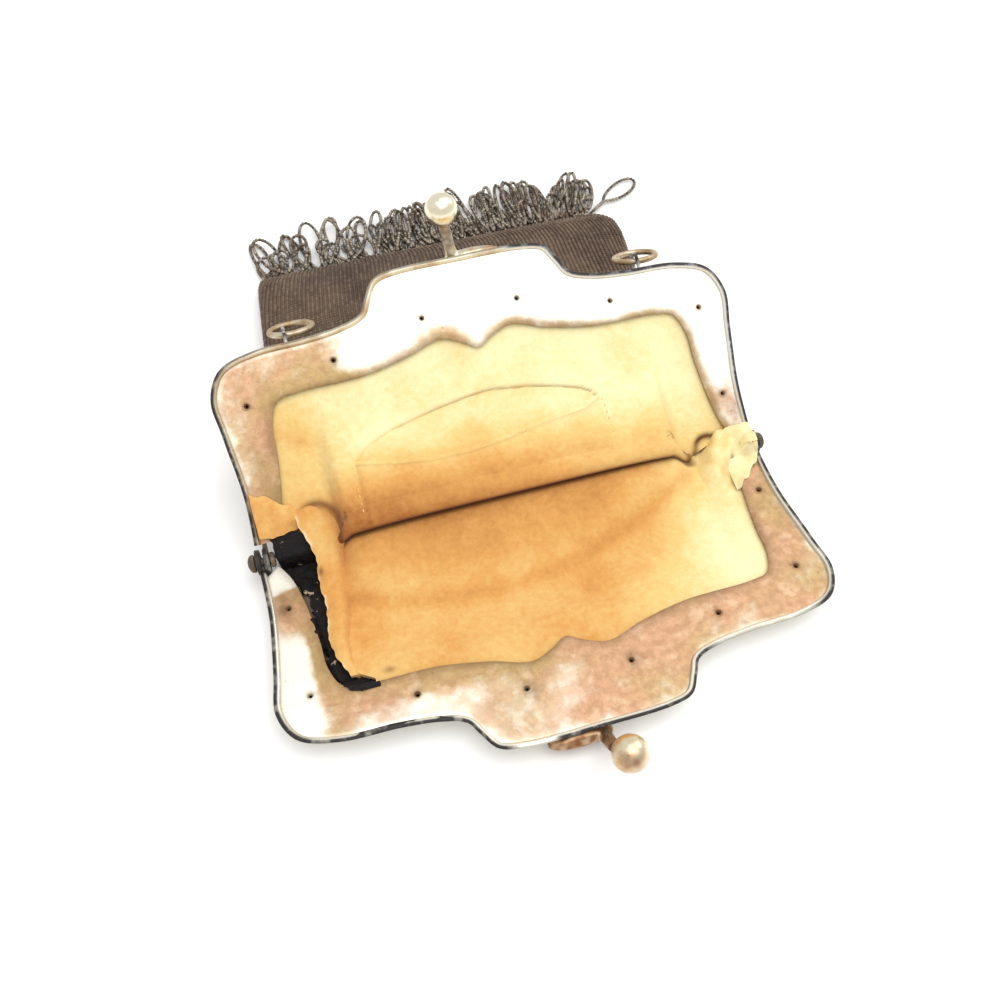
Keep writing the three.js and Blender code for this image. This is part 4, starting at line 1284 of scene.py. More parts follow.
def chatelaine_ring(name, side):
    eye = on_back(np.array((side * EYE_X, EYE_H, EYE_Z)))
    hang = np.array((0, math.sin(RING_LEAN), -math.cos(RING_LEAN)))
    reach = hang * math.cos(RING_SLIP) + np.array((math.sin(RING_SLIP), 0, 0))
    facing = [np.cross((1, 0, 0), hang)]
    marks = {"facing": facing, "run": [(1.0, 0, 0)], "grime": [0.25], "tan": [0.35]}
    values = {
        "Ring Radius": RING_RADIUS * MM, "Wire Radius": RING_WIRE * MM, "Steps": 64, "Sides": 14,
        "Material": SILVER,
    }
    return grown(name, [eye + reach * RING_RADIUS], [], marks, WIRE_RINGS, values)


# Cloth

def tuck_height(x):
    return TUCK_HEIGHT + 3.6 * (1 - smooth(np.abs(x), 5.2, 20.8))


def plane_height(y, tuck):
    """Height over a place on the table of the back half's plane sunk by a tuck."""
    up = (y - tuck * math.sin(RISE)) / math.cos(RISE)
    return TRAY + up * math.sin(RISE) - tuck * math.cos(RISE)


def pillow(share):
    return (1 - np.minimum(np.abs(share), 1.0) ** 4) ** 0.25


def spread_out(u):
    return u * (2 - np.abs(u))


class BackPanel:
    """Back panel of bag or lining: over the bag from hem to mouth, round a fold, up to the plate."""

    def __init__(self, tops, drop, inset, draw, edge, mouth_edge, fold, tuck, flare, spread):
        self.tops, self.drop, self.inset, self.draw = tops, drop, inset, draw
        self.edge, self.mouth_edge = edge, mouth_edge
        self.fold_y, self.radius, self.half = fold[:3]
        self.low_from, self.low_to, self.flat_from, self.end_rise = fold[3:]
        self.tuck, self.flare, self.spread = tuck, flare, spread
        self.end = -1.5 * math.pi + SLOPE_ANGLE

    def over_bag(self, u, y):
        share = spread_out(u)
        drawn = 1 - smooth(y, 8, 22)
        full = np.where(share < 0, -column(BAG_SIDES, y, 1), column(BAG_SIDES, y, 2))
        half = full - self.inset - self.draw * drawn
        low = lerp(self.edge, self.mouth_edge, drawn)
        z = low + (column(self.tops, y) - self.drop - low) * pillow(share)
        return np.stack([share * half, y + 0 * share, z], -1)

    def fold_bottom(self, x):
        share = np.minimum(np.abs(x) / (self.half + 1.5), 0.999)
        return self.mouth_edge + (self.tops[0][1] - self.drop - self.mouth_edge) * pillow(share)

    def on_fold(self, x, angle):
        low = plane_height(self.fold_y, self.tuck) + self.end_rise
        to_arm = smooth(np.abs(x), self.low_from, self.low_to)
        bottom = self.fold_bottom(x)
        full = bottom + 2 * self.radius
        bottom = lerp(bottom, np.minimum(bottom, low - 1), to_arm)
        top = lerp(full, np.minimum(full, low), to_arm)
        radius = np.maximum((top - bottom) / 2, 0.3)
        y = self.fold_y + radius * np.cos(angle)
        return np.stack([x, y, bottom + radius + radius * np.sin(angle)], -1)

    def tucked_at(self, x):
        return tuck_height(x) * math.cos(RISE) + self.tuck * math.sin(RISE)

    def on_slope(self, x, share):
        foot = self.on_fold(x, self.end)
        y = lerp(foot[..., 1], self.tucked_at(x), share)
        bulge = np.maximum(0, 1 - share / self.flat_from)
        to_arm = smooth(np.abs(x), self.low_from, self.low_to)
        lift = (foot[..., 2] - plane_height(foot[..., 1], self.tuck)) * bulge * (1 - to_arm)
        return np.stack([x, y, plane_height(y, self.tuck) + lift], -1)

    def slope_share(self, x, y):
        foot = self.on_fold(x, self.end)[..., 1]
        return (y - foot) / (self.tucked_at(x) - foot)

    def grid(self, over_rows, fold_rows, slope_rows, columns):
        u = np.linspace(-1, 1, columns)
        ys = [row[0] for row in self.tops]
        rows = [self.over_bag(u, np.full(columns, y)) for y in np.linspace(ys[-1], ys[0], over_rows)]
        for angle in np.linspace(-math.pi / 2, self.end, fold_rows):
            rows.append(self.on_fold(spread_out(u) * self.half, angle))
        for share in np.linspace(0, 1, slope_rows + 1)[1:]:
            wide = TUCK_HALF + self.flare * (1 - smooth(share, 0.1, 0.35))
            half = lerp(self.half, wide, smooth(share, 0, self.spread))
            rows.append(self.on_slope(spread_out(u) * half, share))
        return np.array(rows)


# Folds at the mouth: y, radius, half width, where it starts and ends coming down to the hinges, share of
# the slope from which it lies flat, and how far its ends stand over the sunk plane
KNIT_FOLD = (7.4, 0.9, 33.5, 25, 32, 0.6, 0.7)
LIP = (0.65, 1.6, 36.5, 31.5, 36, 0.8, 2.0)
# Side edges of the back lining lie this high, a little over the front lining
LINING_EDGE = LINING_FLOOR + 0.5 + 0.3 + 1 / 3
bag_back_panel = BackPanel(
    BAG_TOP, drop=0, inset=0, draw=7.4, edge=2.17, mouth_edge=7.6, fold=KNIT_FOLD, tuck=KNIT_TUCK,
    flare=0, spread=0.5)
lining_tops = [row for row in BAG_TOP if row[0] < LINING_HEM - 3]
lining_tops.append((LINING_HEM, LINING_EDGE + 0.6 + LAYER))
lining_back_panel = BackPanel(
    lining_tops, drop=LAYER, inset=LINING_INSET, draw=5.5, edge=LINING_EDGE, mouth_edge=LINING_EDGE,
    fold=LIP, tuck=LINING_TUCK, flare=1.9, spread=0.14)
SLOPE_UP = np.array([0, -math.sin(RISE), math.cos(RISE)])


def slope_ochre(x, y):
    """How far the back lining's tone has gone from cream towards ochre; towards the fold at its foot this is painted
    shade of the roll.
    """
    # Darker towards the fold at the foot: painted shade of the roll
    foot = 1.2 * (1 - smooth(y, -1, 14)) * np.clip(0.8 - 0.012 * x, 0.3, 1.3)
    left = 0.42 * smooth(-x, 24, 40) * smooth(y, 4, 14) * (1 - 0.6 * smooth(y, 20, 27))
    return 0.1 + foot + left


def slope_wave(flat):
    return 0.35 * wander(flat * (0.6, 1, 1), 11, 11) + 0.14 * wander(flat, 4, 12)


def lens_fields(x, y):
    """Depth inside the pocket's mouth, and how near a place is to the mouth's upper edge."""
    low, high = column(POCKET_LOWER, x), column(POCKET_UPPER, x)
    within = (x > POCKET_LEFT) & (x < POCKET_RIGHT)
    inside = smooth(y - low, 0, 0.8) * (1 - smooth(y - high, -0.35, 0.1)) * within
    near = bell(y - high + 0.2, 0.32) * within
    return inside, near


def chamois(name, grid, thickness, ochre, soil, fray=0.0):
    """Chamois sheet and its grid, with tone, soil and painted shade, and pale torn edge by place."""
    marks = {"ochre": ochre, "soil": soil, "fray": fray + 0 * ochre}
    return cloth(name, grid, thickness, CHAMOIS, marks), grid


def knitted(name, grid, thickness):
    """Ground of the bead knit and its grid."""
    return cloth(name, grid, thickness, KNIT, {"tint": np.full(grid.shape[:2], KNIT_TINT)}), grid


def fray_runs(flat, seed):
    """Share by which a torn edge shows its pale fibres, in broken runs along it."""
    return 0.12 + 0.88 * smooth(wander(flat, 1.5, seed), 0.05, 0.35)


def lining_back():
    over, fold, slope, columns = 12, 14, 84, 221
    grid = lining_back_panel.grid(over, fold, slope, columns)
    x, y = grid[..., 0], grid[..., 1]
    row = np.arange(len(grid))[:, None]
    on_slope = (row >= over + fold) * np.ones_like(x)
    flat = flat_at(x, y)
    inside, near = lens_fields(x, y)
    band = smooth(x, -33.7, -33.1) * (1 - smooth(x, -28.6, -28.0)) * (1 - smooth(y, 9.0, 11.5))
    seam = bell(x - 21.2, 0.5) * (1 - smooth(y, 11, 14))
    wave = slope_wave(flat)
    ease = smooth(TUCK_HALF - np.abs(x), 0, 6) * smooth(30 - y, 2, 8)
    rise = wave * ease + 0.3 * band - 0.42 * inside - 0.12 * near + 0.12 * seam
    grid = grid + (on_slope * rise)[..., None] * SLOPE_UP
    fold_rise = smooth(row, over + fold * 0.5, over + fold)
    grid[..., 2] += (1 - on_slope) * fold_rise * (0.3 * band + wave * ease)
    # Painted shadow on the slope round the arched top of the left tongue
    arch = np.hypot((x + 37.6) / 4.4, (y - 2.6) / 5.2)
    soil = 0.75 * bell(arch - 1.0, 0.13) * (x < -32.5)
    # Painted shade of the dark curl where the back lining meets the right gusset
    soil = np.maximum(soil, bell(line_reach(x, y, smooth_table(CURL, 24)), 0.55) * on_slope)
    # Painted shadow along the pocket mouth's upper edge
    soil = np.maximum(soil, 0.45 * near * smooth(x, -30, 0))
    # Painted shade on the underside of the lip
    soil = np.maximum(soil, (1 - on_slope) * (1 - smooth(row / (over + fold), 0.665, 0.79)) * 0.8)
    # Painted shade of the dark opening at the lip's right end
    soil = np.maximum(soil, 0.8 * bell(np.hypot(x - 36.0, (y - 0.2) * 1.2), 1.3))
    below_lens = 1 - smooth(y, 8.5, 10.5)
    line = np.maximum(bell(x + 28.2, 0.22) * below_lens, 0.5 * bell(x + 33.4, 0.3) * below_lens)
    soil = np.maximum(soil, 0.3 * line)
    ochre = slope_ochre(x, y) + 0.14 * inside + 0.12 * wander(flat, 9, 13)
    ochre = ochre + 0.3 * np.exp(-np.hypot(x + 37, y - 17.5) ** 2 / 6)
    return chamois("lining_back_skin", grid, LINING_THICK, ochre, soil)


def lining_pocket():
    columns, rows = 131, 22
    x = np.broadcast_to(np.linspace(-28.6, 20.6, columns), (rows, columns))
    v = np.linspace(0, 1, rows)[:, None]
    y = lerp(0.9, column(POCKET_LOWER, x), v)
    share = lining_back_panel.slope_share(x, y)
    grid = lining_back_panel.on_slope(x, np.maximum(share, 0))
    flat = flat_at(x, y)
    sewn = smooth(y, 0.9, 4.5) * smooth(x, -28.7, -27.6) * (1 - smooth(x, 19.4, 20.6))
    rise = lerp(0.1, 0.85, sewn) + slope_wave(flat) + 0.1 * wander(flat, 5, 15)
    grid = grid + rise[..., None] * SLOPE_UP
    ochre = slope_ochre(x, y) + 0.06 + 0.12 * wander(flat, 9, 13)
    # Painted shadow under the pocket's free top edge
    soil = 0.22 * bell(1 - v, 0.05) + 0 * x
    return chamois("lining_pocket_skin", grid, POCKET_THICK, ochre, soil)


def front_raise(x, y):
    """Share by which a front panel lifts to go under the plate."""
    return np.maximum(smooth(np.abs(x), 35.5, 40.5) * smooth(-y, 2, 9), smooth(-y, 22, 28.3))


def front_panel(left, right, low, lift, hem, window_rows, bag_rows, columns):
    u = np.linspace(-1, 1, columns)
    edge = -tuck_height(u * TUCK_HALF)
    ys = [edge * (1 - v) for v in np.linspace(0, 1, window_rows)]
    ys += [np.full(columns, hem * v) for v in np.linspace(0, 1, bag_rows + 1)[1:]]
    y = np.array(ys)
    x = lerp(left(y), right(y), (u + 1) / 2)
    return np.stack([x, y, low + lift * front_raise(x, y)], -1)


def front_side(k, y, slack):
    sign = -1 if k == 1 else 1
    return lerp(column(BAG_SIDES, y, k) + sign * slack, sign * TUCK_HALF, smooth(-y, -1, 8))


def lining_front_top(x, y):
    return LINING_FLOOR + (TRAY - LINING_TUCK - LINING_FLOOR) * front_raise(x, y) + 0.45


def front_lining_form(x, y):
    """Height and tone of the front lining: its sag and folds, and the swell that meets the lip."""
    flat = flat_at(x, y)
    open_part = smooth(-y, -6, 0) * smooth(y, -30, -24) * smooth(TUCK_HALF - np.abs(x), 1, 6)
    wave = 0.45 * wander(flat * (1, 0.5, 1), 12, 22) + 0.16 * wander(flat, 4.5, 23)
    sag = 0.5 * bell(y + 12, 9) * bell(x, 26)
    z = lining_front_top(x, y) - 0.45 + open_part * (wave + 0.25 - sag)
    under_lip = lining_back_panel.on_fold(x, -math.pi / 2)[..., 2] - 1.1
    swell = smooth(y, -15, -0.5) * (1 - smooth(y, 4, 13)) * (1 - smooth(np.abs(x), 37, 42))
    z = z + np.maximum(under_lip - z, 0) * swell
    crease = y + 15 - 9 * (x / 36) ** 2 - 0.12 * x
    z = z + 0.5 * np.tanh(crease / 1.6) * open_part * bell(crease, 7)
    ochre = 0.98 - 0.2 * smooth(-y, 5, 25) - 0.74 * smooth(x - 0.35 * y, 18, 46)
    ochre = ochre + 0.14 * wander(flat, 10, 24) + 0.2 * smooth(y, -9, 1) * (1 - smooth(x, 24, 34))
    # Painted shade along the crease and painted light just past it
    ochre = ochre + 0.16 * bell(crease + 0.8, 1.6) - 0.1 * bell(crease - 3, 3)
    return z, ochre


def lining_front():
    def left(y):
        ragged = 0.35 * wander(flat_at(0 * y, y), 1.3, 21) * (y < 0)
        return np.maximum(front_side(1, y, -LINING_INSET), column(TEAR, y) + ragged)

    def right(y):
        return front_side(2, y, -LINING_INSET)

    grid = front_panel(
        left, right, low=LINING_FLOOR, lift=TRAY - LINING_TUCK - LINING_FLOOR, hem=LINING_HEM + 0.5,
        window_rows=92, bag_rows=22, columns=171)
    x, y = grid[..., 0], grid[..., 1]
    grid[..., 2], ochre = front_lining_form(x, y)
    fray = bell(x - column(TEAR, y), 0.35) * smooth(-y, 4, 8) * fray_runs(grid * (1, 1, 0), 25)
    # Painted shade of the slit, where the lining goes in under the lip
    soil = smooth(y, -1.6, -0.7) * 0.8 * (1 - smooth(np.abs(x), 36, 38.5))
    soil = np.maximum(soil, 0.55 * bell(np.hypot(x + 31.2, (y + 27.5) * 1.8), 1.1))
    return chamois("lining_front_skin", grid, LINING_THICK, ochre, soil, fray)


def tongue(table, columns, rows, torn_side, seed, pucker):
    """Chamois that stands up at an end of the mouth, crowned across, its outer side torn or tucked."""
    line = smooth_table(table, rows - 1)
    y, left, right, middle = line.T[:, :, None]
    s = np.linspace(0, 1, columns)[None, :]
    ragged = 0.4 * wander(flat_at(0 * y, y), 1.2, seed)
    x = lerp(left + ragged * (torn_side < 0), right, s)
    inner = (s if torn_side < 0 else 1 - s) + 0 * x
    y = y + 0 * x
    crown = 0.75 * np.sin(math.pi * np.clip(inner * 0.9 + 0.1, 0, 1)) - 0.2
    z = middle + crown - 0.9 * smooth(inner, 0.6, 1.0)
    flat = flat_at(x, y)
    z = z + pucker * wander(flat * (1, 0.6, 1), 2.4, seed + 1) + 0.12 * wander(flat, 5, seed + 2)
    floor, tone = front_lining_form(x, y)
    if torn_side < 0:
        z = lerp(z, floor + 0.55, smooth(-y, 20, 27))
        joined = smooth(inner, 0.5, 1.0) * smooth(-y, -1.5, 2)
    else:
        joined = np.maximum(smooth(inner, 0.45, 0.95), smooth(-y, 5, 9.3))
    z = lerp(z, floor - 0.3, joined)
    return np.stack([x, y, z], -1), flat, inner, tone, joined


def left_tongue():
    grid, flat, inner, tone, joined = tongue(LEFT_TONGUE, 31, 100, -1, 31, 0.12)
    x, y = grid[..., 0], grid[..., 1]
    ochre = lerp(0.82 + 0.15 * wander(flat, 5, 34), tone + 0.05, smooth(joined, 0.0, 0.7))
    fray = 0.9 * bell(inner, 0.05) * fray_runs(flat, 35)
    hole = np.hypot((x + 39.1) / 0.5, (y + 5.2) / 0.9)
    # The second term darkens the tongue's inner edge near its top: painted shade where it stands against the slope
    soil = 0.7 * bell(hole, 1) + 0.3 * smooth(inner, 0.9, 1.0) * smooth(y, -3, 1)
    return chamois("lining_gusset_left", grid, GUSSET_THICK, ochre, soil, fray)


def right_tongue():
    grid, flat, inner, tone, joined = tongue(RIGHT_TONGUE, 41, 54, 1, 41, 0.3)
    x, y = grid[..., 0], grid[..., 1]
    folds = wander(flat * (1, 0.6, 1), 2.4, 42)
    # Darker ochre in the fold troughs: painted shade in the creases
    ochre = lerp(0.2 + 0.2 * smooth(-folds, 0.0, 0.5), tone, smooth(joined, 0.1, 0.8))
    # Painted shade in the fold troughs, and in a narrow dark slot among the gathers
    slot = np.hypot((x - 43.9 - 0.35 * (y + 3)) / 0.45, (y + 3.4) / 1.7)
    soil = np.maximum(0.12 * smooth(-folds, 0.28, 0.6), 0.85 * bell(slot, 1))
    # Painted shade along the inner edge where it tucks under at the top
    soil = np.maximum(soil, 0.7 * smooth(inner, 0.86, 1.0) * smooth(y, -0.5, 1))
    return chamois("lining_gusset_right", grid, GUSSET_THICK, ochre, soil)


def wrap(name, low_edge, high_edge, place, hump, ochre_at, seed):
    """Chamois drawn over an arm of the frame, between two edges given in the half's own axes."""
    rows, columns = 26, 30
    low, high = resample(low_edge, columns - 1), resample(high_edge, columns - 1)
    v = np.linspace(0, 1, rows)[:, None]
    flat = lerp(low[None], high[None], v[..., None])
    at = np.concatenate([flat, np.zeros((rows, columns, 1))], -1)
    ochre = ochre_at + 0.25 * wander(at, 3, seed + 2)
    soil = 0.2 * smooth(wander(at, 2.6, seed + 3), 0.25, 0.6)
    fray = 0.7 * smooth(-v, -0.08, 0.0) * fray_runs(at, seed + 4)
    ragged = 1.3 * wander(at, 2.0, seed) * (smooth(v, 0.6, 1.0) + 0.6 * smooth(-v, -0.4, 0))
    wide, h = np.abs(at[..., 0]), at[..., 1]
    z = lerp(-0.3, 0.32, smooth(wide, 46.2, 48.2)) - 1.1 * smooth(-wide, -43.8, -41.2)
    z = z + hump * bell(h, 2.4) * smooth(wide, 45.5, 47.6)
    z = z - 0.45 * smooth(v, 0.75, 1.0)
    at[..., 2] = z + 0.22 * (1 + wander(at, 3.5, seed + 1)) + 0.15 * np.sin(math.pi * v)
    at[..., 1] += ragged
    return chamois(name, place(at), WRAP_THICK, ochre, soil, fray)


def over_hinge(points):
    """The front half's axes, bent up past the hinge line on to the back half."""
    p = np.asarray(points, float)
    bent = on_back(np.stack([-p[..., 0], -p[..., 1], p[..., 2]], -1))
    return np.where((p[..., 1] < 0)[..., None], bent, on_front(p))


def black_backing():
    rows, columns = 130, 26
    y, left, right = smooth_table(BACKING, rows - 1).T[:, :, None]
    along = flat_at(0 * y, y)
    left = left + 0.9 * wander(along, 1.7, 51) + 0.55 * wander(along, 0.7, 52)
    x = lerp(left, right, np.linspace(0, 1, columns)[None, :])
    y = y + 0 * x
    edge = -np.interp(-y, WINDOW_LINE[:60, 1], WINDOW_LINE[:60, 0])
    on_plate = 1 - smooth(x - edge, -0.3, 0.9)
    flat = flat_at(x, y)
    under = np.minimum(2.95, lining_front_top(x, y) - 1.2)
    z = lerp(under, BACKING_LEVEL, on_plate) + 0.22 * wander(flat, 1.5, 53) * on_plate
    z = z + 0.2 * wander(flat, 1.8, 54)
    z = np.where(y > 0, np.maximum(z, BACKING_FOOT + BACKING_SLOPE * y), z)
    grid = np.stack([x, y, z], -1)
    return cloth("lining_backing", grid, BACKING_THICK, BACKING_CLOTH), grid


def bag_back():
    columns = 101
    grid = bag_back_panel.grid(BAG_ROWS, FOLD_ROWS, 44, columns)
    flat = grid * (1, 1, 0)
    inner = smooth(1 - np.abs(np.linspace(-1, 1, columns)), 0.02, 0.3)
    sag = 0.5 * wander(flat * (1, 0.5, 1), 15, 61) * inner * smooth(HEM - flat[..., 1], 1, 8)
    grid[:BAG_ROWS, :, 2] += sag[:BAG_ROWS]
    return knitted("bag_back_knit", grid, KNIT_BACK_THICK)


def bag_front():
    grid = front_panel(
        lambda y: front_side(1, y, SEAM_SLACK), lambda y: front_side(2, y, SEAM_SLACK),
        low=KNIT_FLOOR, lift=TRAY - KNIT_TUCK - KNIT_FLOOR, hem=HEM + SEAM_SLACK,
        window_rows=40, bag_rows=60, columns=91)
    return knitted("bag_front_knit", grid, KNIT_FRONT_THICK)


def bead_rows(grid, rows, columns, lift, fold_end=-99.0):
    """Bead places on the lower side of a grid's normals, evenly spaced, with their directions.
    The tight ends of the knit's fold, up to y of fold_end, have no room for beads."""
    run = np.r_[0, np.cumsum(np.linalg.norm(np.diff(grid[:, grid.shape[1] // 2], axis=0), axis=1))]
    at = np.linspace(0, run[-1], rows)
    even = np.stack([
        np.stack([np.interp(at, run, grid[:, j, k]) for k in range(3)], -1)
        for j in range(grid.shape[1])
    ], 1)
    even = np.stack([resample(row, columns - 1) for row in even])
    normal = -normals_of(even)
    points, run = even + normal * lift, np.gradient(even, axis=0)
    clear = (np.abs(even[..., 0]) < BEADED_HALF) | (even[..., 1] > fold_end)
    return points[clear], normal[clear], run[clear]


def fringe_lines():
    """Loops of beads hung along the hem, lying over each other."""
    lines = []
    loose_places, tight_places = np.arange(-37.8, LOOSE_UP_TO, 1.45), np.arange(-8.5, 43.5, 1.0)
    places = [*loose_places, *tight_places, *np.arange(-7.9, 43, 1.9)]
    long_loops = len(loose_places) + len(tight_places)
    turn = np.linspace(0.06, 2 * math.pi - 0.06, 44)
    for i, x0 in enumerate(places):
        loose = x0 < LOOSE_UP_TO
        width = chance.uniform(3.4, 5.8) if loose else chance.uniform(2.2, 4.2)
        share = chance.choice([0.55, 0.75, 0.92, 1.0]) if loose else chance.uniform(0.76, 1.0)
        share = share if i < long_loops else chance.uniform(0.4, 0.62)
        reach = (column(FRINGE_TIPS, x0) - LOOP_BASE) * share
        lean = -0.42 * smooth(x0, 22, 43) + chance.uniform(-0.3, 0.3) * (1.0 if loose else 0.55)
        along = reach * (1 - np.cos(turn)) / 2
        twist = chance.choice([0.0, 0.0, 1.0, 1.6]) * math.pi / 2
        across = width / 2 * np.sin(turn) * np.sin(turn / 2) ** 0.5
        across = across * np.cos(twist * (1 - along / reach))
        across = across + chance.uniform(-1.6, 1.6) * np.sin(turn / 2) ** 3
        x = x0 + across * math.cos(lean) - along * math.sin(lean)
        y = LOOP_ROOT + along * math.cos(lean) + across * math.sin(lean)
        level = 0.62 + (i % 4) * 0.6
        z = level + 0.6 * np.sin(turn + chance.uniform(0, 6)) * np.sin(turn / 2)
        z = np.maximum(z, 0.6) + 1.1 * (1 - smooth(along, 0, 5))
        lines.append(np.column_stack([x, np.minimum(y, LOOP_END), z]))
    x = 49.4 + 5.0 * (1 - np.cos(turn)) + 0.9 * np.sin(turn)
    y = 86.3 + 2.9 * (1 - np.cos(turn)) - 2.6 * np.sin(turn) * np.sin(turn / 2) ** 0.5
    lines.append(np.column_stack([x, y, np.full_like(x, 0.75)]))
    tail = np.linspace(0, 1, 12)
    lines.append(np.column_stack([42.5 + 6.9 * tail, LOOP_BASE + 5.9 * tail, 1.6 - 0.8 * tail]))
    return lines


def stitches_on_slope(line, lift):
    """Places and directions of stitches along a line that lies on the back lining's slope."""
    x, y = np.asarray(line, float).T
    points = lining_back_panel.on_slope(x, lining_back_panel.slope_share(x, y))
    points = points + (lift + slope_wave(flat_at(x, y)))[:, None] * SLOPE_UP
    return points, np.tile(SLOPE_UP, (len(x), 1)), np.gradient(points, axis=0)


# Making of the metal

keep(front_frame(), "frame_silver", "front_frame")
keep(back_frame(), "frame_silver", "back_frame")
for half, place, front in (("front", on_front, 1), ("back", on_back, 0)):
    keep(inner_plate(f"{half}_plate", place, front), "plate_tarnished", f"{half}_inner_plate")
    keep(hole_rims(f"{half}_hole_rims", place, front), "plate_tarnished", f"{half}_inner_plate")
    knob = clasp_knob(f"{half}_clasp", place, 0.5, *((0.3, 0.85) if front else (0.05, 0.15)))
    keep(knob, "frame_silver", f"{half}_clasp_knob")
for side_name, side in zip(("left", "right"), SIDES):
    keep(hinge_pin(f"hinge_rivet_{side_name}", side), "frame_silver", f"hinge_pin_{side_name}")
    keep(chatelaine_ring(f"hanging_ring_{side_name}", side), "frame_silver", f"ring_{side_name}")

# Making of the cloth

SHEETS = []


def keep_sheet(made, slot, held, rests_on, *nodes):
    piece, grid = made
    SHEETS.append((keep(piece, slot, *nodes), grid, held, rests_on))
    return grid


keep_sheet(lining_back(), "chamois", "stretched", ["back_inner_plate"], "lining_back")
keep_sheet(lining_pocket(), "chamois", "laid", ["lining_back_skin"], "lining_pocket")
keep_sheet(lining_front(), "chamois", "laid", ["bag_front_knit"], "lining_front")
keep_sheet(left_tongue(), "chamois", "laid", ["lining_front_skin"])
keep_sheet(right_tongue(), "chamois", "gathered", ["lining_front_skin"])
keep_sheet(wrap("lining_wrap_left", *LEFT_WRAP, on_back, 0.0, 0.85, 71),
           "chamois", "stretched", ["back_inner_plate"])
keep_sheet(wrap("lining_wrap_right", *RIGHT_WRAP, over_hinge, 2.9, 0.16, 81),
           "chamois", "stretched", ["front_inner_plate"])
keep_sheet(black_backing(), "bead_knit", "laid", ["front_inner_plate"])
back_knit = keep_sheet(bag_back(), "bead_knit", "draped", ["lining_back_skin"], "bag_back")
front_knit = keep_sheet(bag_front(), "bead_knit", "laid", [], "bag_front")

# Making of the beads and stitches

places = bead_rows(back_knit[:MOUTH_ROW + 1], 90, 97, 0.5, 9.5)
keep(bead_cover("bag_back_beads", *places, 0.45, KNIT, (1.15, 0.95, 0.8)), "bead_knit", "bag_back")
places = bead_rows(back_knit[MOUTH_ROW:], 42, 84, 0.5, 11.0)
keep(bead_cover("bag_mouth_beads", *places, 0.47, KNIT, (0.95, 1.0, 0.8)), "bead_knit", "bag_back")
places = bead_rows(front_knit, 90, 68, 0.3)
places[0][:, 2] = np.maximum(places[0][:, 2], 0.42)
keep(bead_cover("bag_front_beads", *places, 0.5, KNIT, (1.0, 1.0, 0.8)), "bead_knit", "bag_front")

steps = 60
seam_y = np.linspace(24, HEM - 1, steps)
left_seam, right_seam = (
    at_level(np.column_stack([column(BAG_SIDES, seam_y, k) + out, seam_y]), 1.75)
    for k, out in ((1, -0.5), (2, 0.5))
)
hem_line = at_level(at_level(np.linspace(-38.2, 42.4, steps)[:, None], HEM + 0.55), 1.9)
edging = bead_strands("bag_edging", [left_seam, hem_line, right_seam], 0.55, 0.95, 5)
keep(edging, "bead_knit", "bag_back")
keep(bead_strands("fringe_loops", fringe_lines(), 0.45, 0.83), "fringe_beads", "fringe")

tack = stitches_on_slope([(3.2 + 0.6 * k, 8.3 + 0.07 * k) for k in range(3)], 1.14)
tack = (tack[0], tack[1], np.tile((0.1, math.cos(RISE), math.sin(RISE)), (3, 1)))
left_row = stitches_on_slope([(-29.0, y) for y in np.arange(1.2, 9.6, 1.3)], 0.76)
right_row = stitches_on_slope([(20.9, y) for y in np.arange(2.0, 11.5, 1.3)], 0.49)
places = [np.vstack(parts) for parts in zip(tack, left_row, right_row)]
stitches = bead_cover("lining_stitches", *places, 0.16, YELLOW_THREAD, (3.0, 1.0, 0.8))
keep(stitches, "chamois", "lining_pocket")

for piece, slot, nodes in PIECES:
    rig.ride(piece, "root")
    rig.slot(piece, slot)
    if nodes:
        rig.replaces(piece, *nodes)


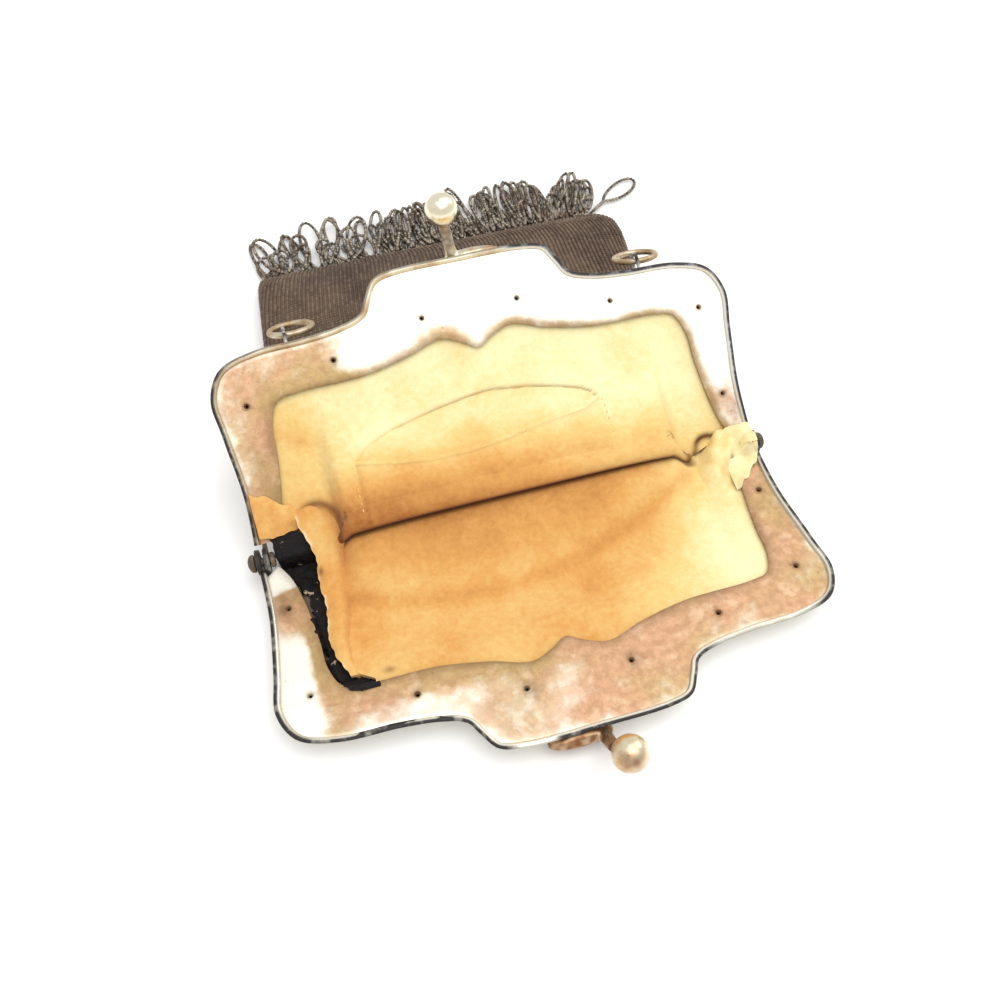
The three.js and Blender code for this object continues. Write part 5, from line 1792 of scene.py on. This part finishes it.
def flat_size(grid):
    """Width and length of the cut, and its own area, in metres. A small strip counts as cut from a
    wider one."""
    across, along = np.diff(grid, axis=1), np.diff(grid, axis=0)
    width = np.linalg.norm(across, axis=2).sum(1).max()
    length = np.linalg.norm(along, axis=2).sum(0).max()
    area = np.linalg.norm(np.cross(across[:-1], along[:, :-1]), axis=2).sum()
    width, length = max(width, LEAST_CUT), max(length, LEAST_CUT)
    return (width * MM, length * MM), area * MM * MM


for piece, grid, held, rests_on in SHEETS:
    flat, area = flat_size(grid)
    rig.sheet(piece, flat=flat, held=held, rests_on=rests_on, area=area)

# Table, light and camera

TABLE = [(x * TABLE_HALF, y * TABLE_HALF, TABLE_LEVEL) for x, y in ((-1, -1), (1, -1), (1, 1), (-1, 1))]
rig.stage(build("table", TABLE, [(0, 1, 2, 3)], table_finish()))

world = bpy.data.worlds.new("soft_room")
world.use_nodes = True
room = world.node_tree.nodes["Background"].inputs
room["Color"].default_value = (1.0, 1.0, 1.0, 1.0)
room["Strength"].default_value = ROOM_LIGHT
bpy.context.scene.world = world


def soft_box(name, at, size, power):
    light = bpy.data.lights.new(name, "AREA")
    light.shape = "RECTANGLE"
    light.size, light.size_y = size
    light.energy = power
    lamp = bpy.data.objects.new(name, light)
    bpy.context.scene.collection.objects.link(lamp)
    aim = Vector(LIT_PLACE) - Vector(at)
    turned_to = aim.to_track_quat("-Z", "Y").to_matrix().to_4x4()
    lamp.matrix_world = Matrix.Translation(Vector(at)) @ turned_to


for light_name, row in LIGHTS.items():
    soft_box(light_name, *row)

camera = bpy.data.objects.new("camera", bpy.data.cameras.new("camera"))
bpy.context.scene.collection.objects.link(camera)
view, up = Vector(CAMERA_VIEW).normalized(), Vector(CAMERA_UP).normalized()
turn = Matrix((view.cross(up), up, -view)).transposed().to_4x4()
camera.matrix_world = Matrix.Translation(Vector(CAMERA_AT) * MM) @ turn
camera.data.lens = LENS
camera.data.sensor_width = SENSOR
camera.data.clip_start = NEAREST
bpy.context.scene.camera = camera
bpy.context.scene.view_settings.view_transform = "Standard"

sizes = {
    "cad": [list(map(float, corner)) for corner in cad_bounds],
    "visual": [list(map(float, corner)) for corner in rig.bounds()],
}
with open("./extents.json", "w") as file:
    json.dump(sizes, file)
